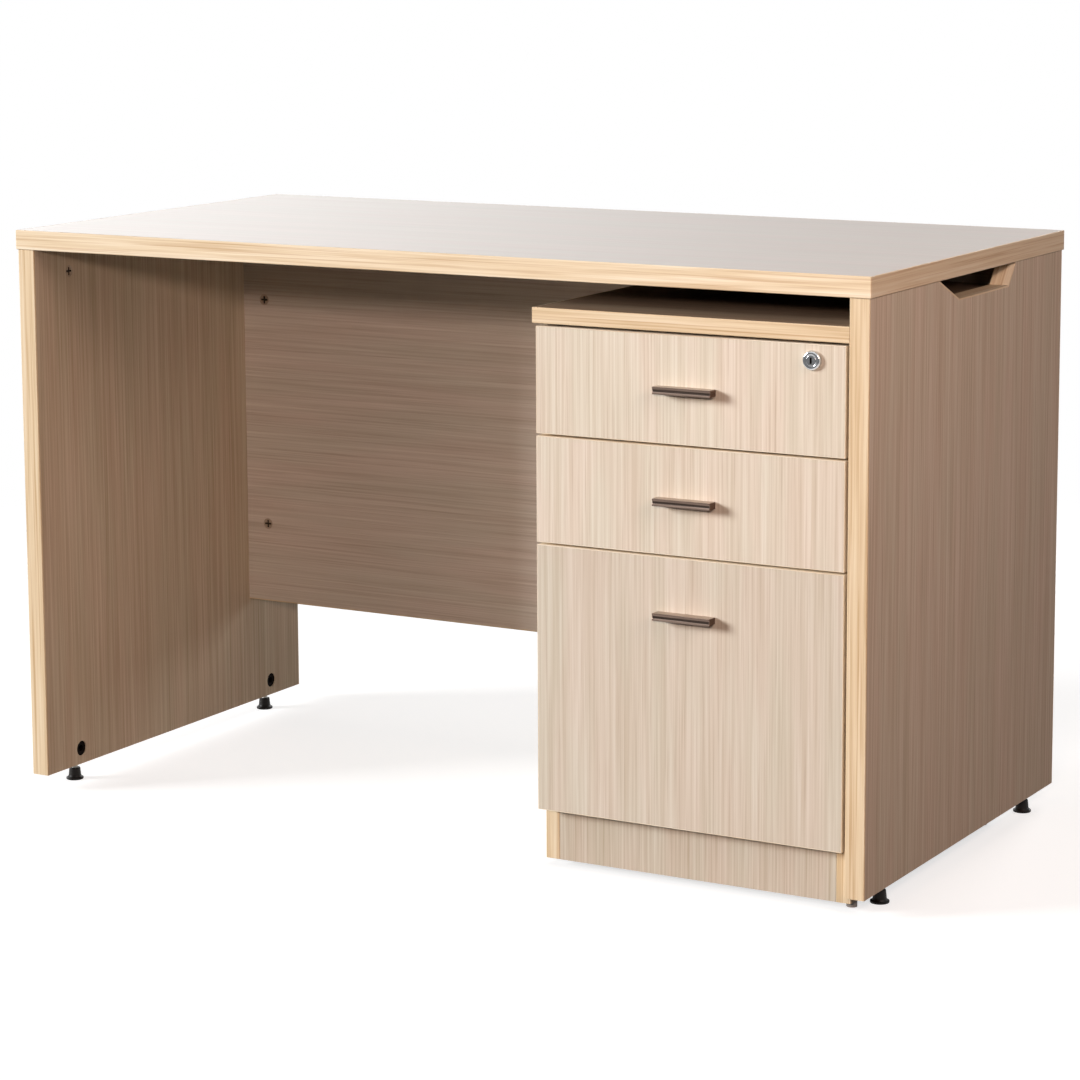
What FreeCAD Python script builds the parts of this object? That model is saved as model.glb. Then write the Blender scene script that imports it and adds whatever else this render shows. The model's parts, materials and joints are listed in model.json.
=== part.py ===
import FreeCAD, Part
import math
import os
import re
import Sketcher

# Executive desk with a three-drawer pedestal, in millimetres.
# The origin is on the floor, at the centre of the whole footprint, handles included.
# X runs to the right as the user sees the drawers, Y away from the user, Z up.

DRIVING_SIZES = {
    # desktop, side panels and modesty panel
    "desk_width": 1200,
    "desk_depth": 600,
    "top_thickness": 25,
    "panel_thickness": 25,
    "foot_rise": 22,
    "overhang": 2,
    "band_thickness": 2,
    "band_round": 1.2,
    "modesty_thickness": 19,
    "modesty_height": 544,
    "modesty_gap": 3,
    # cable notch in the top edge of the right panel
    "notch_setback": 198,
    "notch_front_slope": 61,
    "notch_floor": 156,
    "notch_rear_slope": 22,
    "notch_depth": 27,
    # pedestal
    "pedestal_width": 404,
    "rear_space": 46,
    "board_thickness": 19,
    "shelf_gap": 33,
    "top_lip": 5,
    "plinth_height": 70,
    "back_thickness": 4,
    "glide_height": 10,
    "glide_diameter": 13,
    "glide_inset": 24,
    "left_glide_inset": 48,
    "glide_nail_diameter": 2.5,
    "glide_nail_length": 15,
    # drawer fronts
    "front_reveal": 3,
    "front_side_gap": 4,
    "small_front_height": 128,
    "large_front_height": 325,
    "front_lap": 5,
    "front_band": 0.8,
    # drawer boxes
    "box_wall": 16,
    "box_floor": 4,
    "box_drop": 42,
    "small_box_lift": 12,
    "large_box_lift": 32,
    # ball-bearing runners
    "runner_gap": 13,
    "runner_length": 400,
    "runner_height": 45,
    "runner_steel": 1.2,
    "runner_play": 0.5,
    "runner_setback": 3,
    "runner_rise": 37,
    "runner_screw_inset": 40,
    # bar handles
    "handle_length": 75,
    "handle_projection": 16,
    "handle_front_height": 9,
    "handle_back_height": 8,
    "handle_groove_radius": 6,
    "handle_groove_depth": 1.1,
    "handle_hole_spacing": 64,
    "handle_drop": 69,
    # drawer lock
    "lock_diameter": 23,
    "lock_projection": 5,
    "lock_round": 1.8,
    "lock_barrel_diameter": 19,
    "lock_inset": 41,
    "lock_drop": 18.5,
    "lock_case_width": 40,
    "lock_case_height": 34,
    "lock_case_depth": 9,
    "plug_diameter": 12,
    "keyway_width": 1.8,
    "keyway_height": 6.5,
    "keyway_depth": 9,
    "bolt_width": 14,
    "bolt_thickness": 3,
    "bolt_length": 26,
    "bolt_travel": 8,
    "sliding_clearance": 0.3,
    # levelling feet and their sockets
    "foot_inset": 73,
    "foot_base_diameter": 23,
    "foot_base_height": 3,
    "foot_neck_diameter": 15.5,
    "foot_neck_height": 7,
    "foot_height": 15.5,
    "stud_diameter": 8,
    "stud_grip": 8,
    "stud_length": 50,
    "foot_lift": 6,
    "socket_diameter": 20,
    "socket_depth": 19,
    "socket_rise": 21,
    "socket_recess": 1.5,
    "socket_key_diameter": 9,
    # joinery
    "cam_diameter": 15,
    "cam_cover": 2.5,
    "cam_setback": 34,
    "cam_cross_width": 2,
    "cam_cross_depth": 2,
    "modesty_cam_inset": 112,
    "bolt_diameter": 7,
    "bolt_bite": 11,
    "dowel_diameter": 8,
    "dowel_length": 30,
    "dowel_offset": 32,
    "bore_clearance": 0.1,
    "joint_inset": 60,
    # screws and nails
    "screw_diameter": 4,
    "screw_head_diameter": 8,
    "screw_head_height": 2.4,
    "wood_screw_length": 30,
    "runner_screw_length": 12,
    "handle_screw_bite": 10,
    "nail_diameter": 1.6,
    "nail_length": 18,
    "nail_head_diameter": 4,
    "nail_head_height": 0.6,
    "nail_inset": 9.5,
}

# Places that follow from the driving sizes.
DERIVED_PLACES = {
    "small_box_height": "small_front_height - small_box_lift - box_drop",
    "large_box_height": "large_front_height - large_box_lift - box_drop",
    "fronts_height": "large_front_height + 2 * small_front_height + 3 * front_reveal",
    "side_height": "plinth_height - front_lap + fronts_height",
    "carcass_top": "glide_height + side_height",
    "under_top": "carcass_top + board_thickness + shelf_gap",
    "front_plane": "(handle_projection + overhang - desk_depth) / 2",
    "rear_plane": "front_plane + desk_depth - 2 * overhang",
    "panel_outside": "desk_width / 2 - overhang",
    "panel_inside": "panel_outside - panel_thickness",
    "panel_middle": "panel_outside - panel_thickness / 2",
    "front_joint": "front_plane + foot_inset",
    "rear_joint": "rear_plane - foot_inset",
    "modesty_low": "under_top - modesty_height",
    "notch_floor_level": "under_top - notch_depth",
    "pedestal_left": "panel_inside - pedestal_width",
    "carcass_front": "front_plane + board_thickness",
    "box_back": "carcass_front + runner_length",
    "carcass_back": "box_back + rear_space",
    "back_face": "carcass_back + back_thickness",
    "modesty_front": "back_face + modesty_gap",
    "modesty_back": "modesty_front + modesty_thickness",
    "inner_left": "pedestal_left + board_thickness",
    "inner_right": "panel_inside - board_thickness",
    "floor_board_low": "glide_height + plinth_height",
    "front_left": "pedestal_left",
    "front_right": "panel_inside - front_side_gap",
    "front_1_low": "carcass_top - front_reveal - small_front_height",
    "front_2_low": "front_1_low - front_reveal - small_front_height",
    "front_3_low": "front_2_low - front_reveal - large_front_height",
    "box_left": "inner_left + runner_gap",
    "box_right": "inner_right - runner_gap",
    "lock_x": "front_right - lock_inset",
    "lock_z": "front_1_low + small_front_height - lock_drop",
    "handle_x": "(front_left + front_right) / 2",
    "socket_level": "foot_rise + socket_rise",
    "stud_low": "foot_height - stud_grip",
    "box_1_low": "front_1_low + small_box_lift",
    "box_2_low": "front_2_low + small_box_lift",
    "box_3_low": "front_3_low + large_box_lift",
    "front_slope_shift": "band_thickness * sqrt(notch_front_slope ^ 2 + notch_depth ^ 2) / notch_depth",
    "rear_slope_shift": "band_thickness * sqrt(notch_rear_slope ^ 2 + notch_depth ^ 2) / notch_depth",
    "notch_a": "front_plane + notch_setback",
    "notch_b": "notch_a + notch_front_slope",
    "notch_c": "notch_b + notch_floor",
    "notch_d": "notch_c + notch_rear_slope",
    "case_back": "carcass_front + lock_case_depth",
    "bolt_y": "carcass_front + lock_case_depth / 2",
    "bolt_top": "lock_z + lock_case_height / 2",
}

document = FreeCAD.newDocument("executive_desk")
finished = {}


def formula(text, places_prefix="places."):
    """Turns plain names into references to the two sheets."""

    def reference(match):
        word = match.group(0)
        if word in DRIVING_SIZES:
            return "sizes." + word
        if word in DERIVED_PLACES:
            return places_prefix + word
        return word

    return re.sub(r"[a-z][a-z_0-9]*", reference, text)


def fill_sheet(name, cells):
    sheet = document.addObject("Spreadsheet::Sheet", name)
    for row, (alias, content) in enumerate(cells.items(), start=1):
        sheet.set(f"A{row}", alias)
        sheet.set(f"B{row}", content)
        sheet.setAlias(f"B{row}", alias)
    document.recompute()
    return sheet


sizes = fill_sheet("sizes", {alias: str(size) for alias, size in DRIVING_SIZES.items()})
places = fill_sheet("places", {alias: "=" + formula(text, "") for alias, text in DERIVED_PLACES.items()})

QUARTER = 90
TURNS = {
    "+X": FreeCAD.Rotation(FreeCAD.Vector(0, 1, 0), QUARTER),
    "-X": FreeCAD.Rotation(FreeCAD.Vector(0, 1, 0), -QUARTER),
    "+Y": FreeCAD.Rotation(FreeCAD.Vector(1, 0, 0), -QUARTER),
    "-Y": FreeCAD.Rotation(FreeCAD.Vector(1, 0, 0), QUARTER),
    "+Z": FreeCAD.Rotation(),
    "-Z": FreeCAD.Rotation(FreeCAD.Vector(1, 0, 0), 2 * QUARTER),
}


def bind(item, prop, text):
    item.setExpression(prop, formula(text))


def put(item, at):
    for letter, text in zip("xyz", at):
        bind(item, "Placement.Base." + letter, text)


def moved(at, axis, amount):
    """The point amount further along an axis such as -X."""
    index = "XYZ".index(axis[1])
    return tuple(f"({text}) {axis[0]} ({amount})" if i == index else text for i, text in enumerate(at))


def box(name, low, high):
    """A box between two corners."""
    item = document.addObject("Part::Box", name)
    for prop, start, end in zip(("Length", "Width", "Height"), low, high):
        bind(item, prop, f"({end}) - ({start})")
    put(item, low)
    return item


def loose(diameter):
    """The diameter of the bore that a round piece sits in."""
    return diameter + " + 2 * bore_clearance"


def rod(name, diameter, length, start, axis):
    """A cylinder that starts at a point and runs along an axis."""
    item = document.addObject("Part::Cylinder", name)
    bind(item, "Radius", f"({diameter}) / 2")
    bind(item, "Height", length)
    item.Placement.Rotation = TURNS[axis]
    put(item, start)
    return item


def cone(name, low_diameter, high_diameter, height, at):
    item = document.addObject("Part::Cone", name)
    bind(item, "Radius1", f"({low_diameter}) / 2")
    bind(item, "Radius2", f"({high_diameter}) / 2")
    bind(item, "Height", height)
    put(item, at)
    return item


def fuse(name, members):
    item = document.addObject("Part::MultiFuse", name)
    item.Shapes = members
    return item


def cut(name, base, tools):
    item = document.addObject("Part::Cut", name)
    item.Base = base
    item.Tool = tools[0] if len(tools) == 1 else fuse(name + "_tools", tools)
    return item


def group(name, members):
    item = document.addObject("Part::Compound", name)
    item.Links = members
    return item


def rounded(name, base, radius, wanted):
    """Rounds the straight edges whose middle point the wanted test picks."""
    document.recompute()
    item = document.addObject("Part::Fillet", name)
    item.Base = base
    size = getattr(sizes, radius)
    picked = []
    for number, edge in enumerate(base.Shape.Edges, start=1):
        middle = edge.valueAt((edge.FirstParameter + edge.LastParameter) / 2)
        if wanted(edge, middle):
            picked.append((number, size, size))
    item.Edges = picked
    return item


def finish(node, item):
    item.Label = node
    finished[node] = item
    return item


def outline_pad(name, plane, outline, length, at, backwards=False):
    """A body padded from a closed outline of straight sides, each corner given as a pair of formulas."""
    body = document.addObject("PartDesign::Body", name)
    sketch = body.newObject("Sketcher::SketchObject", name + "_sketch")
    support = [feature for feature in body.Origin.OriginFeatures if feature.Role == plane][0]
    sketch.AttachmentSupport = (support, [""])
    sketch.MapMode = "FlatFace"
    # the corners start on a circle, and their bound distances then move them into place
    count = len(outline)
    start_angle = math.pi / count / 3
    corners = []
    for corner in range(count):
        angle = start_angle + 2 * math.pi * corner / count
        corners.append(FreeCAD.Vector(math.cos(angle), math.sin(angle), 0) * sizes.board_thickness)
    for start, end in zip(corners, corners[1:] + corners[:1]):
        sketch.addGeometry(Part.LineSegment(start, end), False)
    for side in range(count):
        sketch.addConstraint(Sketcher.Constraint("Coincident", side, 2, (side + 1) % count, 1))
    for corner, (across, up) in enumerate(outline):
        start = corners[corner]
        for kind, text, value in (("DistanceX", across, start.x), ("DistanceY", up, start.y)):
            index = sketch.addConstraint(Sketcher.Constraint(kind, -1, 1, corner, 1, value))
            title = f"{kind.lower()}_{corner}"
            sketch.renameConstraint(index, title)
            bind(sketch, "Constraints." + title, text)
    pad = body.newObject("PartDesign::Pad", name + "_pad")
    pad.Profile = sketch
    pad.Reversed = backwards
    bind(pad, "Length", length)
    put(body, at)
    return body


def flipped(axis):
    return ("-" if axis[0] == "+" else "+") + axis[1]


def ordered(low, high, axis):
    """Exchanges the two corners' coordinates on an axis that points backwards."""
    if axis[0] == "+":
        return low, high
    index = "XYZ".index(axis[1])
    new_low = low[:index] + (high[index],) + low[index + 1:]
    new_high = high[:index] + (low[index],) + high[index + 1:]
    return new_low, new_high


def cam_joint(name, at, into, towards, board, fittings):
    """A cam at a board's surface, the bolt it pulls on and the two bores they need.

    at is the cam's centre on the surface, into points into the board and towards at the mating board.
    """
    depth = f"{board} / 2 + cam_cover"
    cam = rod(name + "_cam", "cam_diameter", depth, at, into)
    slots = []
    across = [letter for letter in "XYZ" if letter != into[1]]
    for long_way, short_way in (across, across[::-1]):
        low = moved(moved(at, "-" + long_way, "cam_diameter / 3"), "-" + short_way, "cam_cross_width / 2")
        high = moved(moved(at, "+" + long_way, "cam_diameter / 3"), "+" + short_way, "cam_cross_width / 2")
        low, high = ordered(low, moved(high, into, "cam_cross_depth"), into)
        slots.append(box(f"{name}_slot_{long_way}", low, high))
    fittings.append(cut(name + "_cam_piece", cam, slots))
    rim = moved(moved(at, into, f"{board} / 2"), towards, "cam_diameter / 2")
    length = "cam_setback - cam_diameter / 2 + bolt_bite"
    fittings.append(rod(name + "_bolt", "bolt_diameter", length, rim, towards))
    cam_bore = rod(name + "_cam_bore", loose("cam_diameter"), depth, at, into)
    bolt_bore = rod(name + "_bolt_bore", loose("bolt_diameter"), length, rim, towards)
    return cam_bore, bolt_bore


def dowel(name, at, axis):
    """A dowel that lies half in each of two boards meeting at a point, and the bore it needs."""
    start = moved(at, flipped(axis), "dowel_length / 2")
    dowels.append(rod(name + "_dowel", "dowel_diameter", "dowel_length", start, axis))
    return rod(name + "_bore", loose("dowel_diameter"), "dowel_length", start, axis)


def screw(name, at, into, length, head_height):
    """A screw whose head sits on the surface at a point, and the bore of its shank."""
    head = rod(name + "_head", "screw_head_diameter", head_height, at, flipped(into))
    shank = rod(name + "_shank", "screw_diameter", length, at, into)
    bore = rod(name + "_bore", loose("screw_diameter"), length, at, into)
    return fuse(name, [head, shank]), bore


def strip(name, low, high, outward, along):
    """An edge band strip with its two long outer edges rounded."""
    base = box(name + "_stock", low, high)
    index = "XYZ".index(outward[1])

    def outer_long_edge(edge, middle):
        bounds = base.Shape.BoundBox
        highest = (bounds.XMax, bounds.YMax, bounds.ZMax)
        lowest = (bounds.XMin, bounds.YMin, bounds.ZMin)
        outermost = highest if outward[0] == "+" else lowest
        runs_along = abs(edge.tangentAt(edge.FirstParameter)["XYZ".index(along)]) > math.cos(math.pi / 4)
        return runs_along and abs(middle[index] - outermost[index]) < sizes.bore_clearance

    return rounded(name, base, "band_round", outer_long_edge)


def ring(name, low, high, hole_low, hole_high):
    return cut(name, box(name + "_outer", low, high), [box(name + "_hole", hole_low, hole_high)])


dowels = []
desk_fittings = []
pedestal_screws = []
desktop_bores = []
panel_bores = {"left": [], "right": []}
modesty_bores = []
SIDES = (("left", "-", "-X", "+X"), ("right", "", "+X", "-X"))

# Joints between the side panels and the desktop, and the sockets of the levelling feet
sockets = []
for side, sign, outward, inward in SIDES:
    for row in ("front_joint", "rear_joint"):
        name = f"{side}_{row}"
        toward_middle = "+Y" if row == "front_joint" else "-Y"
        cam_at = (f"{sign}panel_inside", row, "under_top - cam_setback")
        cam_bore, bolt_bore = cam_joint(name, cam_at, outward, "+Z", "panel_thickness", desk_fittings)
        dowel_at = moved((f"{sign}panel_middle", row, "under_top"), toward_middle, "dowel_offset")
        dowel_bore = dowel(name, dowel_at, "+Z")
        socket_at = (f"{sign}panel_inside", row, "socket_level")
        socket_room = "socket_depth + socket_recess"
        socket_bore = rod(name + "_socket_bore", loose("socket_diameter"), socket_room, socket_at, outward)
        stud_room = "stud_low + stud_length + 2 * foot_lift - foot_rise"
        stud_at = (f"{sign}panel_middle", row, "foot_rise")
        stud_bore = rod(name + "_stud_bore", loose("stud_diameter"), stud_room, stud_at, "+Z")
        panel_bores[side] += [cam_bore, bolt_bore, dowel_bore, socket_bore, stud_bore]
        desktop_bores += [bolt_bore, dowel_bore]
        barrel_at = moved(socket_at, outward, "socket_recess")
        barrel = rod(name + "_barrel", "socket_diameter", "socket_depth", barrel_at, outward)
        key_depth = "panel_thickness / 2 - socket_recess"
        key_hole = rod(name + "_key_hole", "socket_key_diameter", key_depth, barrel_at, outward)
        sockets.append(cut(name + "_socket", barrel, [key_hole, stud_bore]))

# Joints between the modesty panel and the side panels
MODESTY_LEVELS = {
    "upper": "under_top - modesty_cam_inset",
    "lower": "modesty_low + modesty_cam_inset",
}
for side, sign, outward, inward in SIDES:
    for level, height in MODESTY_LEVELS.items():
        name = f"modesty_{side}_{level}"
        cam_at = moved((f"{sign}panel_inside", "modesty_front", height), inward, "cam_setback")
        cam_bore, bolt_bore = cam_joint(name, cam_at, "+Y", outward, "modesty_thickness", desk_fittings)
        modesty_middle = "modesty_front + modesty_thickness / 2"
        dowel_at = (f"{sign}panel_inside", modesty_middle, f"{height} + dowel_offset")
        dowel_bore = dowel(name, dowel_at, outward)
        modesty_bores += [cam_bore, bolt_bore, dowel_bore]
        panel_bores[side] += [bolt_bore, dowel_bore]

# Pedestal joints: sides to top, to the bottom board and to the plinth
CARCASS_ROWS = {
    "front": "carcass_front + joint_inset",
    "rear": "carcass_back - joint_inset",
}
side_bores = {"left": [], "right": []}
pedestal_top_bores = []
pedestal_bottom_bores = []
plinth_bores = []
PEDESTAL_SIDES = (("left", "inner_left", "-X", "+X"), ("right", "inner_right", "+X", "-X"))
PLINTH_DOWEL_SHARES = {"low": 1 / 4, "high": 3 / 4}
for side, face, outward, inward in PEDESTAL_SIDES:
    for row, depth in CARCASS_ROWS.items():
        name = f"pedestal_{side}_{row}"
        cam_at = (face, depth, "carcass_top - cam_setback")
        bores = cam_joint(name + "_top", cam_at, outward, "+Z", "board_thickness", desk_fittings)
        dowel_at = moved((face, f"{depth} + dowel_offset", "carcass_top"), outward, "board_thickness / 2")
        dowel_bore = dowel(name + "_top", dowel_at, "+Z")
        side_bores[side] += [*bores, dowel_bore]
        pedestal_top_bores += [bores[1], dowel_bore]
        cam_at = moved((face, depth, "floor_board_low"), inward, "cam_setback")
        bores = cam_joint(name + "_bottom", cam_at, "+Z", outward, "board_thickness", desk_fittings)
        dowel_at = (face, f"{depth} + dowel_offset", "floor_board_low + board_thickness / 2")
        dowel_bore = dowel(name + "_bottom", dowel_at, outward)
        side_bores[side] += [bores[1], dowel_bore]
        pedestal_bottom_bores += [*bores, dowel_bore]
    for level, height_share in PLINTH_DOWEL_SHARES.items():
        dowel_height = f"glide_height + plinth_height * {height_share}"
        dowel_at = (face, "carcass_front + board_thickness / 2", dowel_height)
        dowel_bore = dowel(f"plinth_{side}_{level}", dowel_at, outward)
        plinth_bores.append(dowel_bore)
        side_bores[side].append(dowel_bore)

# Screws that hang the pedestal on the desk's right panel, between its runners
HANGING_LEVELS = {
    "upper": "(box_1_low + box_2_low) / 2 + runner_rise",
    "lower": "(box_2_low + box_3_low) / 2 + runner_rise",
}
for row, depth in CARCASS_ROWS.items():
    for level, height in HANGING_LEVELS.items():
        name = f"mounting_screw_{row}_{level}"
        screw_at = ("inner_right", depth, height)
        piece, bore = screw(name, screw_at, "+X", "wood_screw_length", "screw_head_height")
        pedestal_screws.append(piece)
        side_bores["right"].append(bore)
        panel_bores["right"].append(bore)

# Glides nailed under the pedestal sides, on the left further in from the edges
GLIDE_INSETS = {"left": "left_glide_inset", "right": "glide_inset"}
glides = []
for side, face, outward, inward in PEDESTAL_SIDES:
    inset = GLIDE_INSETS[side]
    for row, depth in (("front", f"carcass_front + {inset}"), ("rear", f"carcass_back - {inset}")):
        name = f"glide_{side}_{row}"
        at = moved((face, depth, "0"), outward, "board_thickness / 2")
        disc = rod(name + "_disc", "glide_diameter", "glide_height", at, "+Z")
        nail_length = "glide_height + glide_nail_length"
        nail = rod(name + "_nail", "glide_nail_diameter", nail_length, at, "+Z")
        glides.append(fuse(name, [disc, nail]))
        nail_bore = rod(name + "_bore", loose("glide_nail_diameter"), nail_length, at, "+Z")
        side_bores[side].append(nail_bore)

# Nails that hold the back board on the pedestal
NAILS_PER_SIDE = 5
nails = []
nail_bores = []
for side, face, outward, inward in PEDESTAL_SIDES:
    for count in range(NAILS_PER_SIDE):
        name = f"nail_{side}_{count}"
        rise_share = count / (NAILS_PER_SIDE - 1)
        height = f"glide_height + nail_inset + (side_height - 2 * nail_inset) * {rise_share}"
        at = moved((face, "back_face", height), outward, "board_thickness / 2")
        head = rod(name + "_head", "nail_head_diameter", "nail_head_height", at, "+Y")
        shank = rod(name + "_shank", "nail_diameter", "nail_length", at, "-Y")
        nails.append(fuse(name, [head, shank]))
        nail_bore = rod(name + "_bore", loose("nail_diameter"), "nail_length", at, "-Y")
        nail_bores.append(nail_bore)
        side_bores[side].append(nail_bore)

# Runners: two steel channels that slide inside a third, on each side of each drawer
fixed_runners = []
middle_runners = {}
inner_runners = {}
drawer_screws = {}
drawer_side_bores = {}


def channel(name, sign, web_start, web_end, tip, half, at):
    """A channel section runner member along Y, with its web between two distances from the carcass."""
    inside = f"({half} - runner_steel)"
    corners = [(web_start, f"-{half}"), (tip, f"-{half}"), (tip, f"-{inside}"), (web_end, f"-{inside}")]
    corners += [(web_end, inside), (tip, inside), (tip, half), (web_start, half)]
    outline = [(f"{sign}({across})", up) for across, up in corners]
    return outline_pad(name, "XZ_Plane", outline, "runner_length", at, backwards=True)


for drawer in (1, 2, 3):
    middle_runners[drawer] = []
    inner_runners[drawer] = []
    drawer_screws[drawer] = []
    for side, face, outward, inward in PEDESTAL_SIDES:
        name = f"drawer_{drawer}_{side}"
        sign = inward[0]
        at = (face, "carcass_front + runner_setback", f"box_{drawer}_low + runner_rise")
        half = "(runner_height / 2)"
        step = "(runner_steel + runner_play)"
        fixed_tip = f"runner_gap - {step}"
        fixed = channel(name + "_fixed", sign, "0", "runner_steel", fixed_tip, half, at)
        middle_half = f"({half} - {step})"
        middle_tip = f"{fixed_tip} - runner_play"
        middle_web = f"{step} + runner_steel"
        middle = channel(name + "_middle", sign, step, middle_web, middle_tip, middle_half, at)
        inner_half = f"({half} - 2 * {step})"
        inner_web = "runner_gap - runner_steel"
        inner = channel(name + "_inner", sign, "runner_gap", inner_web, f"2 * {step}", inner_half, at)
        middle_runners[drawer].append(middle)
        carcass_holes = []
        inner_holes = []
        drawer_side_bores[drawer, side] = []
        for row, along in (("front", "runner_screw_inset"), ("rear", "runner_length - runner_screw_inset")):
            # each screw head lies in a hole of the channel's web, flush with it
            screw_at = moved(at, "+Y", along)
            title = f"{name}_fixed_{row}"
            piece, bore = screw(title, screw_at, outward, "runner_screw_length", "runner_steel")
            pedestal_screws.append(piece)
            side_bores[side].append(bore)
            hole = rod(title + "_hole", loose("screw_head_diameter"), "runner_steel", screw_at, inward)
            carcass_holes.append(hole)
            screw_at = moved(screw_at, inward, "runner_gap")
            title = f"{name}_inner_{row}"
            piece, bore = screw(title, screw_at, inward, "runner_screw_length", "runner_steel")
            drawer_screws[drawer].append(piece)
            drawer_side_bores[drawer, side].append(bore)
            hole = rod(title + "_hole", loose("screw_head_diameter"), "runner_steel", screw_at, outward)
            inner_holes.append(hole)
        fixed_runners.append(cut(name + "_fixed_runner", fixed, carcass_holes))
        inner_runners[drawer].append(cut(name + "_inner_runner", inner, inner_holes))

# Drawers: front with its edge band, box, handle
fronts = {1: "small_front_height", 2: "small_front_height", 3: "large_front_height"}
box_heights = {1: "small_box_height", 2: "small_box_height", 3: "large_box_height"}
handle_levels = {
    1: "front_1_low + small_front_height / 2",
    2: "front_2_low + small_front_height / 2",
    3: "front_3_low + large_front_height - handle_drop",
}
for drawer in (1, 2, 3):
    name = f"drawer_{drawer}"
    low_z = f"front_{drawer}_low"
    high_z = f"{low_z} + {fronts[drawer]}"
    box_low = f"box_{drawer}_low"
    box_high = f"{box_low} + {box_heights[drawer]}"
    front_bores = []
    # the box's walls stand on its floor board
    wall_low = f"{box_low} + box_floor"
    back = box(name + "_back_board", ("box_left + box_wall", "box_back - box_wall", wall_low),
               ("box_right - box_wall", "box_back", box_high))
    back_bores = []
    cam_levels = {"upper": f"{box_high} - cam_diameter", "lower": f"{wall_low} + cam_diameter"}
    corner_levels = {
        "upper": f"{box_high} - screw_head_diameter",
        "lower": f"{wall_low} + screw_head_diameter / 2",
    }
    wall_places = {"left": ("box_left", "+X"), "right": ("box_right", "-X")}
    for side, (face, inward) in wall_places.items():
        outward = flipped(inward)
        near = (face, "carcass_front", wall_low)
        far = moved((face, "box_back", box_high), inward, "box_wall")
        wall = box(f"{name}_{side}_wall", *ordered(near, far, inward))
        bores = drawer_side_bores[drawer, side]
        for level, height in cam_levels.items():
            title = f"{name}_{side}_{level}"
            cam_at = moved((face, "carcass_front + cam_setback", height), inward, "box_wall")
            cam_bore, bolt_bore = cam_joint(title, cam_at, outward, "-Y", "box_wall", drawer_screws[drawer])
            bores += [cam_bore, bolt_bore]
            front_bores.append(bolt_bore)
        for level, height in corner_levels.items():
            title = f"{name}_{side}_{level}_corner"
            screw_at = (face, "box_back - box_wall / 2", height)
            piece, bore = screw(title, screw_at, inward, "wood_screw_length", "screw_head_height")
            drawer_screws[drawer].append(piece)
            bores.append(bore)
            back_bores.append(bore)
        finish(f"{name}_{side}_side", cut(f"{name}_{side}_side", wall, bores))
    finish(name + "_back", cut(name + "_back", back, back_bores))
    bottom_low = ("box_left", "carcass_front", box_low)
    bottom_high = ("box_right", "box_back", wall_low)
    finish(name + "_bottom", box(name + "_bottom", bottom_low, bottom_high))
    # handle with a hollow front face and two screws from inside the front
    handle_at = ("handle_x - handle_length / 2", "front_plane", handle_levels[drawer])
    outline = [
        ("0", "-handle_back_height / 2"),
        ("0", "handle_back_height / 2"),
        ("-handle_projection", "handle_front_height / 2"),
        ("-handle_projection", "-handle_front_height / 2"),
    ]
    bar = outline_pad(name + "_bar", "YZ_Plane", outline, "handle_length", handle_at)
    groove_at = moved(handle_at, "-Y", "handle_projection + handle_groove_radius - handle_groove_depth")
    handle_cuts = [rod(name + "_groove", "2 * handle_groove_radius", "handle_length", groove_at, "+X")]
    for side, offset in (("left", "-"), ("right", "+")):
        screw_at = (f"handle_x {offset} handle_hole_spacing / 2", "carcass_front", handle_levels[drawer])
        length = "board_thickness + handle_screw_bite"
        piece, bore = screw(f"{name}_handle_{side}_screw", screw_at, "-Y", length, "screw_head_height")
        drawer_screws[drawer].append(piece)
        handle_cuts.append(bore)
        front_bores.append(bore)
    finish(name + "_handle", cut(name + "_handle", bar, handle_cuts))
    if drawer == 1:
        barrel_at = ("lock_x", "front_plane", "lock_z")
        barrel_bore_size = loose("lock_barrel_diameter")
        front_bores.append(rod("lock_barrel_bore", barrel_bore_size, "board_thickness", barrel_at, "+Y"))
        case_screw_bores = []
        for side, offset in (("left", "-"), ("right", "+")):
            case_screw_x = f"lock_x {offset} (lock_case_width / 2 - screw_head_diameter)"
            screw_at = (case_screw_x, "case_back", "lock_z - lock_case_height / 4")
            length = "lock_case_depth + handle_screw_bite"
            piece, bore = screw(f"lock_{side}_screw", screw_at, "-Y", length, "screw_head_height")
            drawer_screws[drawer].append(piece)
            case_screw_bores.append(bore)
            front_bores.append(bore)
    low = ("front_left", "front_plane", low_z)
    high = ("front_right", "carcass_front", high_z)
    inner_low = ("front_left + front_band", "front_plane", f"{low_z} + front_band")
    inner_high = ("front_right - front_band", "carcass_front", f"{high_z} - front_band")
    front_board = box(name + "_front_board", inner_low, inner_high)
    finish(name + "_front", cut(name + "_front", front_board, front_bores))
    finish(name + "_front_edge_band", ring(name + "_front_edge_band", low, high, inner_low, inner_high))
    finish(name + "_fasteners", group(name + "_fasteners", drawer_screws[drawer]))
    finish(name + "_inner_runners", group(name + "_inner_runners", inner_runners[drawer]))
    finish(name + "_middle_runners", group(name + "_middle_runners", middle_runners[drawer]))

# Lock: chrome housing, key plug and bolt
lock_at = ("lock_x", "front_plane", "lock_z")
plug_from = moved(lock_at, "-Y", "lock_projection")
plug_length = "bolt_y - bolt_thickness / 2 - 2 * sliding_clearance - front_plane + lock_projection"
cap = rod("lock_cap_stock", "lock_diameter", "lock_projection", lock_at, "-Y")


def front_rim(edge, middle):
    return abs(middle.y - cap.Shape.BoundBox.YMin) < sizes.bore_clearance


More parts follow.
